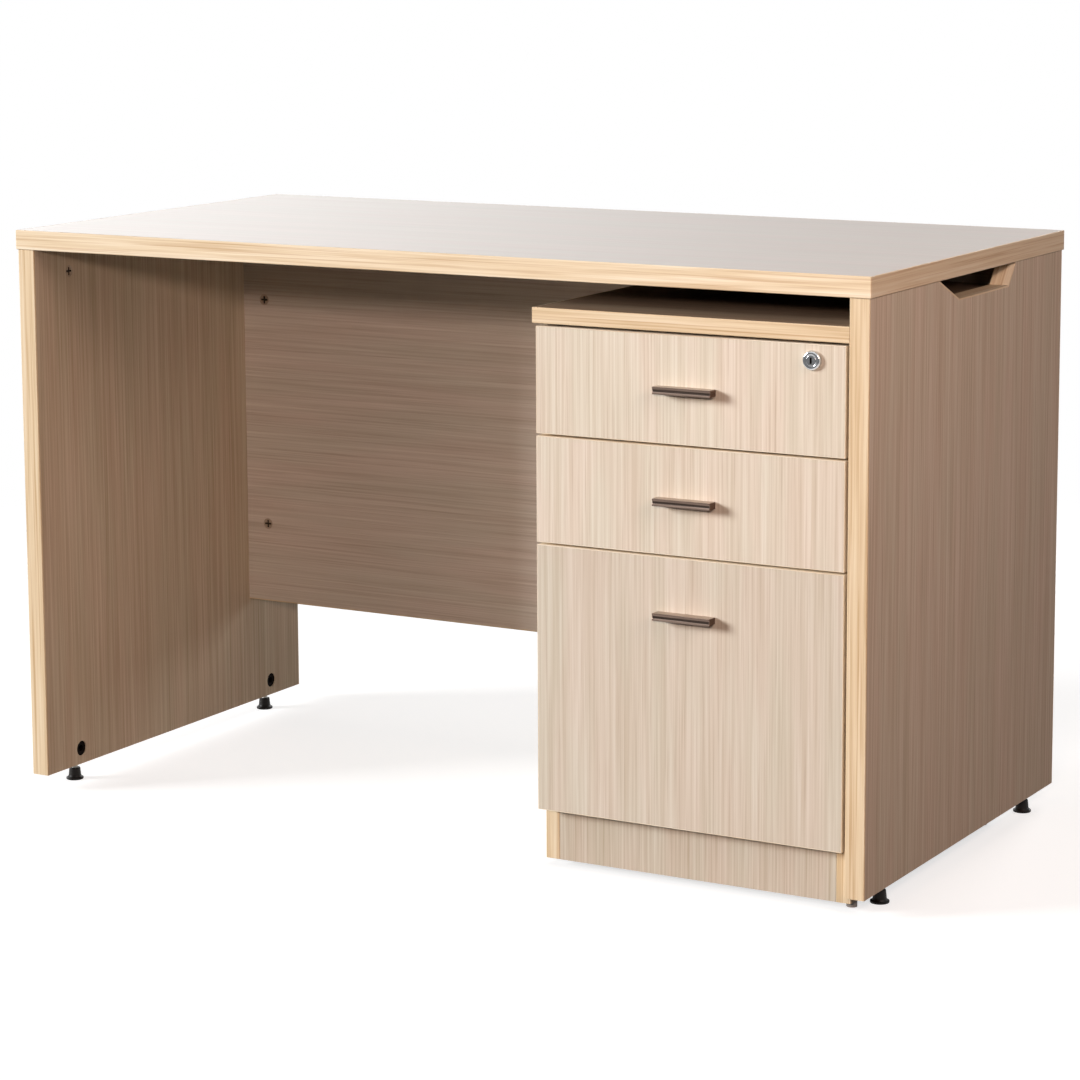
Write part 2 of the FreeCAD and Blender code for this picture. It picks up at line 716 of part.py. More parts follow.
cap = rounded("lock_cap", cap, "lock_round", front_rim)
barrel = rod("lock_barrel", "lock_barrel_diameter", "board_thickness", lock_at, "+Y")
case = box("lock_case", ("lock_x - lock_case_width / 2", "carcass_front", "lock_z - lock_case_height / 2"),
           ("lock_x + lock_case_width / 2", "case_back", "bolt_top"))
bolt_low = ("lock_x - bolt_width / 2", "bolt_y - bolt_thickness / 2", "bolt_top - bolt_length")
bolt_high = ("lock_x + bolt_width / 2", "bolt_y + bolt_thickness / 2", "bolt_top")


def grown(low, high, letters):
    """The two corners with the sliding clearance added on some axes."""
    for letter in letters:
        low = moved(low, "-" + letter, "sliding_clearance")
        high = moved(high, "+" + letter, "sliding_clearance")
    return low, high


bolt_slot = box("lock_bolt_slot", *grown(bolt_low, bolt_high, "XYZ"))
mortise_high = moved(bolt_high, "+Z", "bolt_travel")
mortise = box("lock_mortise", *grown(bolt_low, mortise_high, "XYZ"))
plug_bore_length = f"{plug_length} + 2 * sliding_clearance"
plug_bore = rod("lock_plug_bore", loose("plug_diameter"), plug_bore_length, plug_from, "+Y")
housing = fuse("lock_housing_body", [cap, barrel, case])
finish("lock_housing", cut("lock_housing", housing, [bolt_slot, plug_bore] + case_screw_bores))
key_low = moved(moved(plug_from, "-X", "keyway_width / 2"), "-Z", "keyway_height / 2")
key_high = moved(moved(plug_from, "+X", "keyway_width / 2"), "+Z", "keyway_height / 2")
key_high = moved(key_high, "+Y", "keyway_depth")
plug = rod("lock_plug_stock", "plug_diameter", plug_length, plug_from, "+Y")
finish("lock_plug", cut("lock_plug", plug, [box("lock_keyway", key_low, key_high)]))
finish("lock_bolt", box("lock_bolt", bolt_low, bolt_high))
pedestal_top_bores.append(mortise)

# Desktop and its edge band
desk_low = ("-desk_width / 2", "front_plane - overhang", "under_top")
desk_high = ("desk_width / 2", "rear_plane + overhang", "under_top + top_thickness")
core_low = moved(moved(desk_low, "+X", "band_thickness"), "+Y", "band_thickness")
core_high = moved(moved(desk_high, "-X", "band_thickness"), "-Y", "band_thickness")
finish("desktop_board", cut("desktop_board", box("desktop_core", core_low, core_high), desktop_bores))
desktop_ring = ring("desktop_band_ring", desk_low, desk_high, core_low, core_high)


def outer_rim(edge, middle):
    bounds = desktop_ring.Shape.BoundBox
    reach_x = min(abs(middle.x - bounds.XMin), abs(middle.x - bounds.XMax))
    reach_y = min(abs(middle.y - bounds.YMin), abs(middle.y - bounds.YMax))
    return min(reach_x, reach_y) < sizes.bore_clearance


finish("desktop_edge_band", rounded("desktop_edge_band", desktop_ring, "band_round", outer_rim))

# Side panels: the left one is plain, the right one has the cable notch in its top edge
left_core = box("left_core", ("-panel_outside", "front_plane + band_thickness", "foot_rise"),
                ("-panel_inside", "rear_plane - band_thickness", "under_top"))
finish("left_panel", cut("left_panel", left_core, panel_bores["left"]))
front_foot = "notch_b - front_slope_shift + notch_front_slope * band_thickness / notch_depth"
rear_foot = "notch_c + rear_slope_shift - notch_rear_slope * band_thickness / notch_depth"
cut_line = [
    ("notch_a - front_slope_shift", "under_top"),
    (front_foot, "notch_floor_level - band_thickness"),
    (rear_foot, "notch_floor_level - band_thickness"),
    ("notch_d + rear_slope_shift", "under_top"),
]
notch_line = [
    ("notch_d", "under_top"),
    ("notch_c", "notch_floor_level"),
    ("notch_b", "notch_floor_level"),
    ("notch_a", "under_top"),
]
panel_line = [("front_plane + band_thickness", "under_top")] + cut_line + [
    ("rear_plane - band_thickness", "under_top"),
    ("rear_plane - band_thickness", "foot_rise"),
    ("front_plane + band_thickness", "foot_rise"),
]
right_core = outline_pad("right_core", "YZ_Plane", panel_line, "panel_thickness", ("panel_inside", "0", "0"))
finish("right_panel", cut("right_panel", right_core, panel_bores["right"]))
liner_line = cut_line + notch_line
liner_at = ("panel_inside", "0", "0")
notch_liner = outline_pad("notch_liner", "YZ_Plane", liner_line, "panel_thickness", liner_at)

# Modesty panel
modesty_core = box("modesty_core", ("-panel_inside", "modesty_front", "modesty_low + band_thickness"),
                   ("panel_inside", "modesty_back", "under_top"))
finish("modesty_panel", cut("modesty_panel", modesty_core, modesty_bores))

# Edge bands of the upright panels and of the pedestal
PANEL_SPANS = {
    "left": ("-panel_outside", "-panel_inside"),
    "right": ("panel_inside", "panel_outside"),
}
panel_bands = [notch_liner]
for side, (near, far) in PANEL_SPANS.items():
    panel_bands.append(strip(f"{side}_front_band", (near, "front_plane", "foot_rise"),
                             (far, "front_plane + band_thickness", "under_top"), "-Y", "Z"))
    panel_bands.append(strip(f"{side}_rear_band", (near, "rear_plane - band_thickness", "foot_rise"),
                             (far, "rear_plane", "under_top"), "+Y", "Z"))
panel_bands.append(strip("modesty_band", ("-panel_inside", "modesty_front", "modesty_low"),
                         ("panel_inside", "modesty_back", "modesty_low + band_thickness"), "-Z", "X"))

# Pedestal boards
band_front = "carcass_front + band_thickness"
left_board = box("pedestal_left_board", ("pedestal_left", band_front, "glide_height"),
                 ("inner_left", "carcass_back", "carcass_top"))
right_board = box("pedestal_right_board", ("inner_right", band_front, "glide_height"),
                  ("panel_inside", "carcass_back", "carcass_top"))
finish("pedestal_left_side", cut("pedestal_left_side", left_board, side_bores["left"]))
finish("pedestal_right_side", cut("pedestal_right_side", right_board, side_bores["right"]))
top_high_z = "carcass_top + board_thickness"
lip_left = "pedestal_left - top_lip"
lip_band_right = f"{lip_left} + band_thickness"
top_board = box("pedestal_top_board", (lip_band_right, "front_plane + band_thickness", "carcass_top"),
                ("panel_inside", "back_face", top_high_z))
finish("pedestal_top", cut("pedestal_top", top_board, pedestal_top_bores))
bottom_board = box("pedestal_bottom_board", ("inner_left", "carcass_front", "floor_board_low"),
                   ("inner_right", "carcass_back", "floor_board_low + board_thickness"))
finish("pedestal_bottom", cut("pedestal_bottom", bottom_board, pedestal_bottom_bores))
plinth = box("plinth_stock", ("inner_left", "carcass_front", "glide_height"),
             ("inner_right", "carcass_front + board_thickness", "floor_board_low"))
finish("plinth_board", cut("plinth_board", plinth, plinth_bores))
back_board = box("pedestal_back_board", ("pedestal_left", "carcass_back", "glide_height"),
                 ("panel_inside", "back_face", "carcass_top"))
finish("pedestal_back", cut("pedestal_back", back_board, nail_bores))
panel_bands += [
    strip("pedestal_top_front_band", (lip_left, "front_plane", "carcass_top"),
          ("panel_inside", "front_plane + band_thickness", top_high_z), "-Y", "X"),
    strip("pedestal_top_left_band", (lip_left, "front_plane + band_thickness", "carcass_top"),
          (lip_band_right, "back_face", top_high_z), "-X", "Y"),
    strip("pedestal_left_band", ("pedestal_left", "carcass_front", "glide_height"),
          ("inner_left", band_front, "carcass_top"), "-Y", "Z"),
    strip("pedestal_right_band", ("inner_right", "carcass_front", "glide_height"),
          ("panel_inside", band_front, "carcass_top"), "-Y", "Z"),
]
finish("panel_edge_bands", group("panel_edge_bands", panel_bands))

# Fittings that share a node each
finish("cam_fittings", group("cam_fittings", desk_fittings))
finish("wooden_dowels", group("wooden_dowels", dowels))
finish("pedestal_screws", group("pedestal_screws", pedestal_screws))
finish("back_board_nails", group("back_board_nails", nails))
finish("foot_sockets", group("foot_sockets", sockets))
finish("pedestal_glides", group("pedestal_glides", glides))
finish("fixed_runners", group("fixed_runners", fixed_runners))

# Levelling feet: a black bell-shaped pad on a threaded stud
for side, sign, outward, inward in SIDES:
    for row, joint in (("front", "front_joint"), ("rear", "rear_joint")):
        name = f"{row}_{side}_foot"
        at = (f"{sign}panel_middle", joint, "0")
        flare_at = moved(at, "+Z", "foot_base_height")
        neck_at = moved(at, "+Z", "foot_neck_height")
        stud_at = moved(at, "+Z", "stud_low")
        flare_height = "foot_neck_height - foot_base_height"
        neck_height = "foot_height - foot_neck_height"
        base = rod(name + "_base", "foot_base_diameter", "foot_base_height", at, "+Z")
        flare = cone(name + "_flare", "foot_base_diameter", "foot_neck_diameter", flare_height, flare_at)
        neck = rod(name + "_neck", "foot_neck_diameter", neck_height, neck_at, "+Z")
        bore = rod(name + "_bore", loose("stud_diameter"), "stud_length", stud_at, "+Z")
        finish(name + "_pad", cut(name + "_pad", fuse(name + "_bell", [base, flare, neck]), [bore]))
        finish(name + "_stud", rod(name + "_stud", "stud_diameter", "stud_length", stud_at, "+Z"))

document.recompute()
broken = [item.Label for item in document.Objects if {"Invalid", "Error"} & set(item.State)]
broken += [node for node, item in finished.items() if item.Shape.isNull() or not item.Shape.isValid()]
if broken:
    raise RuntimeError("these objects failed: " + ", ".join(broken))
os.makedirs("parts", exist_ok=True)
for node, item in finished.items():
    item.Shape.exportStep(f"parts/{node}.step")
print(f"{len(finished)} nodes written")
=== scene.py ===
import json
import math

import bmesh
import bpy
from mathutils import Matrix, Vector

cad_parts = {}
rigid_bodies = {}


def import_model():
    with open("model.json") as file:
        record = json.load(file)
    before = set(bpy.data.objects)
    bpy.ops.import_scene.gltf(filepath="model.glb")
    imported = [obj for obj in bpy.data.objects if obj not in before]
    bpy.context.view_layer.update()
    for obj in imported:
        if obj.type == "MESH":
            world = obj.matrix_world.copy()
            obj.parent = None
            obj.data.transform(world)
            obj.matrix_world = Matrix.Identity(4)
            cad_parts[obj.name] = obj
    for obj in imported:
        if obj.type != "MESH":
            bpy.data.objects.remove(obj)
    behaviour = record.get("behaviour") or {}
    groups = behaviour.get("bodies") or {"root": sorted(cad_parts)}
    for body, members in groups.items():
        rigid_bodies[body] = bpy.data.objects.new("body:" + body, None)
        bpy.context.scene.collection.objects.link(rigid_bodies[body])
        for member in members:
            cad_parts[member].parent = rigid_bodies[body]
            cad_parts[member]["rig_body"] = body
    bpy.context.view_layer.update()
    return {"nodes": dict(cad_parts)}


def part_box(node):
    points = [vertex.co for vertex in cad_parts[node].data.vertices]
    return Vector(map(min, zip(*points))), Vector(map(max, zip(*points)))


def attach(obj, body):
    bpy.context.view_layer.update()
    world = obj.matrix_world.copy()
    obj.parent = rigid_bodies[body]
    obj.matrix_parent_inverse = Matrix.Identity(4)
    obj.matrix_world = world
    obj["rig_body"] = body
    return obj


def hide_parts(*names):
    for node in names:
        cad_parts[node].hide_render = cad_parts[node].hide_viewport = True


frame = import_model()

MM = 0.001
nodes = frame["nodes"]
DRAWERS = (1, 2, 3)
FEET = ("front_left", "rear_left", "front_right", "rear_right")


def body_of(node):
    return nodes[node]["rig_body"]


# Materials
def tone(red, green, blue):
    """A linear colour from the usual 0 to 255 values."""
    def linear(value):
        share = value / 255
        return share / 12.92 if share <= 0.04045 else ((share + 0.055) / 1.055) ** 2.4
    return (linear(red), linear(green), linear(blue), 1)


class Graph:
    """A material's nodes, added and joined by short calls."""

    def __init__(self, name):
        self.material = bpy.data.materials.new(name)
        self.material.use_nodes = True
        self.nodes = self.material.node_tree.nodes
        self.links = self.material.node_tree.links
        self.nodes.clear()
        self.shader = self.nodes.new("ShaderNodeBsdfPrincipled")
        output = self.nodes.new("ShaderNodeOutputMaterial")
        self.links.new(self.shader.outputs["BSDF"], output.inputs["Surface"])
        self.place = self.nodes.new("ShaderNodeTexCoord").outputs["Object"]

    def feed(self, socket, value):
        if isinstance(value, bpy.types.NodeSocket):
            self.links.new(value, socket)
        else:
            socket.default_value = value

    def set(self, **inputs):
        for title, value in inputs.items():
            self.feed(self.shader.inputs[title.replace("_", " ")], value)

    def noise(self, scales, shift=(0, 0, 0), detail=2.0, rough=0.5):
        mapping = self.nodes.new("ShaderNodeMapping")
        self.links.new(self.place, mapping.inputs["Vector"])
        mapping.inputs["Scale"].default_value = scales
        mapping.inputs["Location"].default_value = shift
        texture = self.nodes.new("ShaderNodeTexNoise")
        self.links.new(mapping.outputs["Vector"], texture.inputs["Vector"])
        texture.inputs["Scale"].default_value = 1
        texture.inputs["Detail"].default_value = detail
        texture.inputs["Roughness"].default_value = rough
        return texture.outputs[0]

    def grain(self, along, across, length, shift=(0, 0, 0), **settings):
        """Noise drawn out along one or two axes, with its waves per metre across and along them."""
        scales = [length if letter in along else across for letter in "xyz"]
        return self.noise(scales, shift, **settings)

    def spread(self, value, low, high, new_low=0.0, new_high=1.0):
        node = self.nodes.new("ShaderNodeMapRange")
        for index, number in enumerate((value, low, high, new_low, new_high)):
            self.feed(node.inputs[index], number)
        return node.outputs[0]

    def calc(self, operation, first, second=0.0, third=0.0):
        node = self.nodes.new("ShaderNodeMath")
        node.operation = operation
        for index, number in enumerate((first, second, third)):
            self.feed(node.inputs[index], number)
        return node.outputs[0]

    def ramp(self, value, stops):
        node = self.nodes.new("ShaderNodeValToRGB")
        elements = node.color_ramp.elements
        while len(elements) < len(stops):
            elements.new(0.5)
        for element, (position, colour) in zip(elements, stops):
            element.position = position
            element.color = colour
        self.links.new(value, node.inputs[0])
        return node.outputs[0]

    def mix(self, share, first, second, mode="MIX"):
        node = self.nodes.new("ShaderNodeMix")
        node.data_type = "RGBA"
        node.blend_type = mode
        self.feed(node.inputs["Factor"], share)
        self.feed(node.inputs[6], first)
        self.feed(node.inputs[7], second)
        return node.outputs[2]

    def bump(self, height, depth, strength=1.0):
        node = self.nodes.new("ShaderNodeBump")
        node.inputs["Strength"].default_value = strength
        node.inputs["Distance"].default_value = depth
        self.links.new(height, node.inputs["Height"])
        self.links.new(node.outputs[0], self.shader.inputs["Normal"])


LAMINATE_TONES = [
    (0.36, tone(203, 186, 166)), (0.46, tone(214, 198, 180)),
    (0.54, tone(220, 206, 190)), (0.66, tone(230, 218, 204)),
]
# Painted shade: darker, warmer tones for the left panel, whose inner face stands in shade under the desktop.
LEFT_PAINTED_SHADE_TONES = [
    (0.36, tone(192, 171, 149)), (0.46, tone(202, 182, 161)),
    (0.54, tone(208, 190, 170)), (0.66, tone(217, 201, 183)),
]
# Painted light: lighter, cooler tones for the modesty panel, standing in for the colour of the light on its
# shaded face.
MODESTY_PAINTED_LIGHT_TONES = [
    (0.36, tone(207, 193, 182)), (0.46, tone(217, 205, 195)),
    (0.54, tone(222, 210, 201)), (0.66, tone(231, 221, 212)),
]
FRONT_TONES = [
    (0.36, tone(217, 203, 185)), (0.46, tone(224, 211, 195)),
    (0.54, tone(229, 217, 202)), (0.66, tone(236, 226, 213)),
]
# Painted shade: much darker tones for the desktop's downward face, which deepen the shade under the top.
UNDERSIDE_PAINTED_SHADE_TONES = [(0.36, tone(112, 98, 86)), (0.66, tone(136, 120, 106))]
# Painted shade: darker tones for the pedestal's top board, which lies in the shade under the desktop.
SHELF_PAINTED_SHADE_TONES = [(0.36, tone(134, 113, 95)), (0.66, tone(160, 139, 119))]
TOP_TONES = [
    (0.36, tone(188, 175, 165)), (0.46, tone(193, 180, 171)),
    (0.54, tone(196, 184, 175)), (0.66, tone(201, 190, 181)),
]
BAND_TONES = [
    (0.36, tone(221, 196, 162)), (0.46, tone(232, 211, 179)),
    (0.56, tone(238, 219, 190)), (0.66, tone(244, 229, 204)),
]
LEG_BAND_TONES = [
    (0.36, tone(213, 186, 149)), (0.45, tone(224, 200, 165)),
    (0.55, tone(230, 208, 175)), (0.66, tone(236, 217, 188)),
]
THIN_BAND_TONES = [(0.36, tone(238, 222, 196)), (0.66, tone(248, 237, 218))]
LAMINATE_BUMP_DEPTH = 0.08 * MM
WOOD_BUMP_DEPTH = 0.1 * MM
METAL_BUMP_DEPTH = 0.03 * MM
PLASTIC_BUMP_DEPTH = 0.05 * MM


def laminate(name, along, shift=(0, 0, 0), stops=None, rough=(0.42, 0.56), line_depth=0.3, specular=0.03,
             level=1.0, relief=0.4):
    """Striped wood laminate: fine straight streaks over broader bands, thin dark lines and faint patches. A
    level below one darkens the whole colour and paints shade where it is used.
    """
    graph = Graph(name)
    fine = graph.grain(along, across=360, length=4, shift=shift, detail=3)
    broad = graph.grain(along, across=75, length=1.2, shift=shift)
    both = graph.calc("MULTIPLY_ADD", fine, 0.76, graph.calc("MULTIPLY", broad, 0.24))
    colour = graph.ramp(both, stops or LAMINATE_TONES)
    thin = graph.grain(along, across=640, length=6, shift=shift, detail=3, rough=0.6)
    lines = graph.spread(thin, 0.55, 0.70)
    colour = graph.mix(graph.calc("MULTIPLY", lines, line_depth), colour, tone(196, 172, 148), "MULTIPLY")
    patches = graph.grain(along, across=26, length=4, shift=shift, detail=1)
    tint = graph.ramp(patches, [(0.36, tone(255, 252, 250)), (0.64, tone(252, 254, 251))])
    colour = graph.mix(1.0, colour, tint, "MULTIPLY")
    graph.set(Base_Color=graph.mix(1.0, colour, (level, level, level, 1), "MULTIPLY"))
    graph.set(Specular_IOR_Level=specular)
    graph.set(Roughness=graph.spread(fine, 0.3, 0.7, *rough))
    graph.bump(both, LAMINATE_BUMP_DEPTH, relief)
    return graph


def edge_band(name, along, shift=(0, 0, 0), stops=None):
    """Light wood edge band with a few thin grain lines along its length."""
    graph = Graph(name)
    soft = graph.grain(along, across=230, length=4, shift=shift, detail=3, rough=0.6)
    colour = graph.ramp(soft, stops or BAND_TONES)
    lines = graph.spread(graph.grain(along, across=480, length=3, shift=shift), 0.56, 0.68)
    colour = graph.mix(graph.calc("MULTIPLY", lines, 0.45), colour, tone(206, 172, 132), "MULTIPLY")
    graph.set(Base_Color=colour, Roughness=graph.spread(soft, 0.3, 0.7, 0.42, 0.55), Specular_IOR_Level=0.1)
    graph.bump(soft, WOOD_BUMP_DEPTH, 0.4)
    return graph


def plain_board(name, along, low, high, across=160, length=4):
    """A plain board or wood whose tone varies between two colours."""
    graph = Graph(name)
    soft = graph.grain(along, across, length, detail=4, rough=0.6)
    graph.set(Base_Color=graph.ramp(soft, [(0.32, low), (0.68, high)]))
    graph.set(Roughness=graph.spread(soft, 0.3, 0.7, 0.45, 0.6))
    graph.bump(soft, WOOD_BUMP_DEPTH, 0.4)
    return graph


def metal(name, low, high, rough, along="", across=900, length=30, metallic=1.0):
    """Metal whose tone and gloss vary with fine brushing along an axis, or evenly."""
    graph = Graph(name)
    brushed = graph.grain(along, across, length, detail=3, rough=0.6)
    graph.set(Base_Color=graph.ramp(brushed, [(0.32, low), (0.68, high)]), Metallic=metallic)
    graph.set(Roughness=graph.spread(brushed, 0.3, 0.7, *rough))
    graph.bump(brushed, METAL_BUMP_DEPTH, 0.5)
    return graph


def plastic(name, low, high, rough, specular=0.5):
    """Moulded plastic with a fine grain and a slightly uneven gloss."""
    graph = Graph(name)
    grains = graph.noise((1500, 1500, 1500))
    cloud = graph.noise((90, 90, 90))
    graph.set(Base_Color=graph.ramp(cloud, [(0.35, low), (0.65, high)]), Specular_IOR_Level=specular)
    graph.set(Roughness=graph.spread(cloud, 0.3, 0.7, *rough))
    graph.bump(grains, PLASTIC_BUMP_DEPTH, 0.4)
    return graph


# Painted shade: lower drawer fronts are darkened step by step, standing in for the light falling off towards
# the floor.
FRONT_PAINTED_SHADE_LEVELS = {1: 0.98, 2: 0.96, 3: 0.88}
front_laminates = {}
for drawer in DRAWERS:
    shift = (3.7 * drawer, 0, 1.3 * drawer)
    front_laminates[drawer] = laminate(f"front_laminate_{drawer}", "z", shift, FRONT_TONES,
                                       level=FRONT_PAINTED_SHADE_LEVELS[drawer])
upright_laminate = laminate("upright_laminate", "z", (11, 5, 0))
left_painted_shade_laminate = laminate("left_painted_shade_laminate", "z", (6, 2, 5), LEFT_PAINTED_SHADE_TONES)
# Painted shade: the plinth's laminate is darkened, standing in for the shade under the drawer fronts.
plinth_painted_shade_laminate = laminate("plinth_painted_shade_laminate", "z", (9, 6, 3), level=0.88)
modesty_painted_light_laminate = laminate("modesty_painted_light_laminate", "x", (0, 4, 9), MODESTY_PAINTED_LIGHT_TONES)
flat_laminate = laminate("flat_laminate", "x", (2, 8, 1))
underside_painted_shade_laminate = laminate("underside_painted_shade_laminate", "x", (1, 9, 4), UNDERSIDE_PAINTED_SHADE_TONES)
shelf_painted_shade_laminate = laminate("shelf_painted_shade_laminate", "x", (7, 3, 2), SHELF_PAINTED_SHADE_TONES)
top_laminate = laminate("top_laminate", "x", (5, 2, 0), TOP_TONES, rough=(0.29, 0.33), line_depth=0.08,
                        specular=0.5, relief=0.06)
upright_band = edge_band("upright_band", "z", (3, 8, 0), LEG_BAND_TONES)
ring_band = edge_band("ring_band", "xy", (0, 2, 7))
cross_band = edge_band("cross_band", "x", (0, 6, 4), LEG_BAND_TONES)
deep_band = edge_band("deep_band", "yz", (9, 0, 3))
thin_band = edge_band("thin_band", "xz", (4, 1, 5), THIN_BAND_TONES)
BOX_BOARD_TONES = (tone(226, 214, 196), tone(240, 231, 216))
box_board = plain_board("drawer_box_board", "y", *BOX_BOARD_TONES)
box_back_board = plain_board("drawer_back_board", "x", *BOX_BOARD_TONES)
fibre_board = plain_board("back_fibre_board", "z", tone(186, 160, 128), tone(205, 181, 149),
                          across=900, length=700)
dowel_wood = plain_board("dowel_wood", "z", tone(205, 168, 120), tone(224, 192, 148), across=700, length=40)
cam_zinc = metal("cam_zinc", tone(172, 152, 134), tone(196, 177, 158), rough=(0.42, 0.52), metallic=0.35)
# Painted shade: dark metal for the cams' cross recesses, standing in for the shade inside them.
cam_recess_painted_shade = metal("cam_recess_painted_shade", tone(40, 32, 26), tone(54, 44, 36), rough=(0.5, 0.6), metallic=0.2)
zinc = metal("zinc", tone(176, 176, 170), tone(206, 206, 200), rough=(0.32, 0.46))
steel = metal("runner_steel", tone(176, 178, 180), tone(206, 208, 210), rough=(0.24, 0.36), along="y",
              across=1400, length=12)
BRONZE_BRUSHING = {"rough": (0.26, 0.38), "along": "x", "across": 1600, "length": 16}
bronze = metal("handle_bronze", tone(104, 88, 78), tone(138, 119, 108), **BRONZE_BRUSHING)
# Painted highlight: a lighter bronze for the handle's top face, standing in for the reflection of the bright
# surroundings.
bronze_painted_highlight = metal("handle_bronze_painted_highlight", tone(152, 137, 127), tone(186, 170, 158), **BRONZE_BRUSHING)
# Painted dark reflection: a darker bronze for the hollow of the handle's front face.
bronze_painted_dark_reflection = metal("handle_bronze_painted_dark_reflection", tone(66, 55, 50), tone(88, 75, 68), **BRONZE_BRUSHING)
chrome = metal("lock_chrome", tone(206, 208, 210), tone(226, 228, 230), rough=(0.10, 0.18),
               across=300, length=300)
# Painted shade: dark metal for the keyway's walls, standing in for the shade deep inside it.
keyway_painted_shade = metal("keyway_painted_shade_metal", tone(46, 42, 38), tone(62, 56, 50), rough=(0.4, 0.5), across=300, length=300)
black = plastic("black_plastic", tone(15, 12, 10), tone(24, 20, 18), rough=(0.38, 0.5), specular=0.2)
socket_black = plastic("socket_black", tone(14, 9, 7), tone(20, 14, 11), rough=(0.6, 0.7), specular=0.03)
grey = plastic("grey_plastic", tone(172, 166, 162), tone(192, 186, 182), rough=(0.4, 0.5))

NODE_MATERIALS = {
    "desktop_board": top_laminate, "desktop_edge_band": ring_band,
    "left_panel": left_painted_shade_laminate, "right_panel": upright_laminate, "modesty_panel": modesty_painted_light_laminate,
    "pedestal_left_side": upright_laminate, "pedestal_right_side": upright_laminate,
    "pedestal_top": shelf_painted_shade_laminate, "pedestal_bottom": flat_laminate, "plinth_board": plinth_painted_shade_laminate,
    "pedestal_back": fibre_board, "cam_fittings": cam_zinc, "wooden_dowels": dowel_wood,
    "pedestal_screws": zinc, "back_board_nails": zinc, "foot_sockets": socket_black,
    "pedestal_glides": grey, "fixed_runners": steel, "panel_edge_bands": upright_band,
    "lock_housing": chrome, "lock_plug": chrome, "lock_bolt": steel,
}
for drawer in DRAWERS:
    name = f"drawer_{drawer}_"
    NODE_MATERIALS[name + "front"] = front_laminates[drawer]
    NODE_MATERIALS[name + "front_edge_band"] = thin_band
    for side in ("left_side", "right_side", "back", "bottom"):
        NODE_MATERIALS[name + side] = box_back_board if side == "back" else box_board
    NODE_MATERIALS[name + "handle"] = bronze
    NODE_MATERIALS[name + "fasteners"] = zinc
    NODE_MATERIALS[name + "inner_runners"] = steel
    NODE_MATERIALS[name + "middle_runners"] = steel
for foot in FEET:
    NODE_MATERIALS[foot + "_foot_pad"] = black
    NODE_MATERIALS[foot + "_foot_stud"] = zinc
for node, graph in NODE_MATERIALS.items():
    nodes[node].data.materials.clear()
    nodes[node].data.materials.append(graph.material)

# Pieces
SMOOTH_LIMIT = math.cos(math.radians(40))
LONG_EDGE = 8 * MM
MERGE_DISTANCE = 0.01 * MM
FLAT_ANGLE = math.radians(0.5)
FACING_SHARE = 0.9
BOARD_ROUND = 0.25 * MM
RUNNER_ROUND = 0.4 * MM


def shade(mesh):
    """Smooth shading that keeps large flat faces flat up to their rounded edges."""
    around = [[] for vertex in mesh.vertices]
    for polygon in mesh.polygons:
        polygon.use_smooth = True
        for vertex in polygon.vertices:
            around[vertex].append(polygon)
    normals = []
    for polygon in mesh.polygons:
        for vertex in polygon.vertices:
            total = Vector()
            for other in around[vertex]:
                if polygon.normal.dot(other.normal) > SMOOTH_LIMIT:
                    total += other.normal * other.area
            normals.append(total.normalized())
    mesh.normals_split_custom_set(normals)


def add_piece(name, shape, node, graphs):
    """Turns a bmesh into a piece that stands for a CAD node and rides with it."""
    mesh = bpy.data.meshes.new(name)
    shape.to_mesh(mesh)
    shape.free()
    shade(mesh)
    for graph in graphs:
        mesh.materials.append(graph.material)
    piece = bpy.data.objects.new(name, mesh)
    bpy.context.scene.collection.objects.link(piece)
    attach(piece, body_of(node))
    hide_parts(node)
    return piece


def join_flats(shape):
    """Joins doubled corners and the triangles of each flat face."""
    bmesh.ops.remove_doubles(shape, verts=shape.verts, dist=MERGE_DISTANCE)
    bmesh.ops.dissolve_limit(shape, angle_limit=FLAT_ANGLE, verts=shape.verts, edges=shape.edges)


def solid_copy(node):
    """A CAD node's solids with whole flat faces."""
    shape = bmesh.new()
    shape.from_mesh(nodes[node].data)
    join_flats(shape)
    return shape


def round_edges(shape, edges, width, segments):
    """Rounds the given edges. A width of zero leaves them sharp."""
    if edges and width > 0:
        bmesh.ops.bevel(shape, geom=edges, offset=width, segments=segments, profile=0.5,
                        affect="EDGES", clamp_overlap=False)


def is_sharp(edge, angle=30):
    return edge.is_manifold and edge.calc_face_angle() > math.radians(angle)


def long_sharp_edges(shape):
    return [edge for edge in shape.edges if is_sharp(edge) and edge.calc_length() > LONG_EDGE]


def softened(node, width):
    """A copy of a CAD node with its long edges slightly rounded."""
    shape = solid_copy(node)
    round_edges(shape, long_sharp_edges(shape), width, 2)
    return add_piece(node + "_finished", shape, node, [NODE_MATERIALS[node]])


BOARDS = {
    "desktop_board": "desktop_laminate", "desktop_edge_band": "edge_band",
    "left_panel": "panel_laminate", "right_panel": "panel_laminate", "modesty_panel": "panel_laminate",
    "pedestal_left_side": "panel_laminate", "pedestal_right_side": "panel_laminate",
    "pedestal_top": "panel_laminate", "pedestal_bottom": "panel_laminate", "plinth_board": "panel_laminate",
    "pedestal_back": "back_board",
}
for drawer in DRAWERS:
    name = f"drawer_{drawer}_"
    BOARDS[name + "front"] = "panel_laminate"
    BOARDS[name + "front_edge_band"] = "edge_band"
    for side in ("left_side", "right_side", "back", "bottom"):
        BOARDS[name + side] = "drawer_box"
for node, slot in BOARDS.items():
    board = softened(node, 0 if node == "desktop_edge_band" else BOARD_ROUND)
    # The desktop's downward face gets the painted shade laminate.
    if node == "desktop_board":
        board.data.materials.append(underside_painted_shade_laminate.material)
        for polygon in board.data.polygons:
            polygon.material_index = 1 if polygon.normal.z < -FACING_SHARE else 0

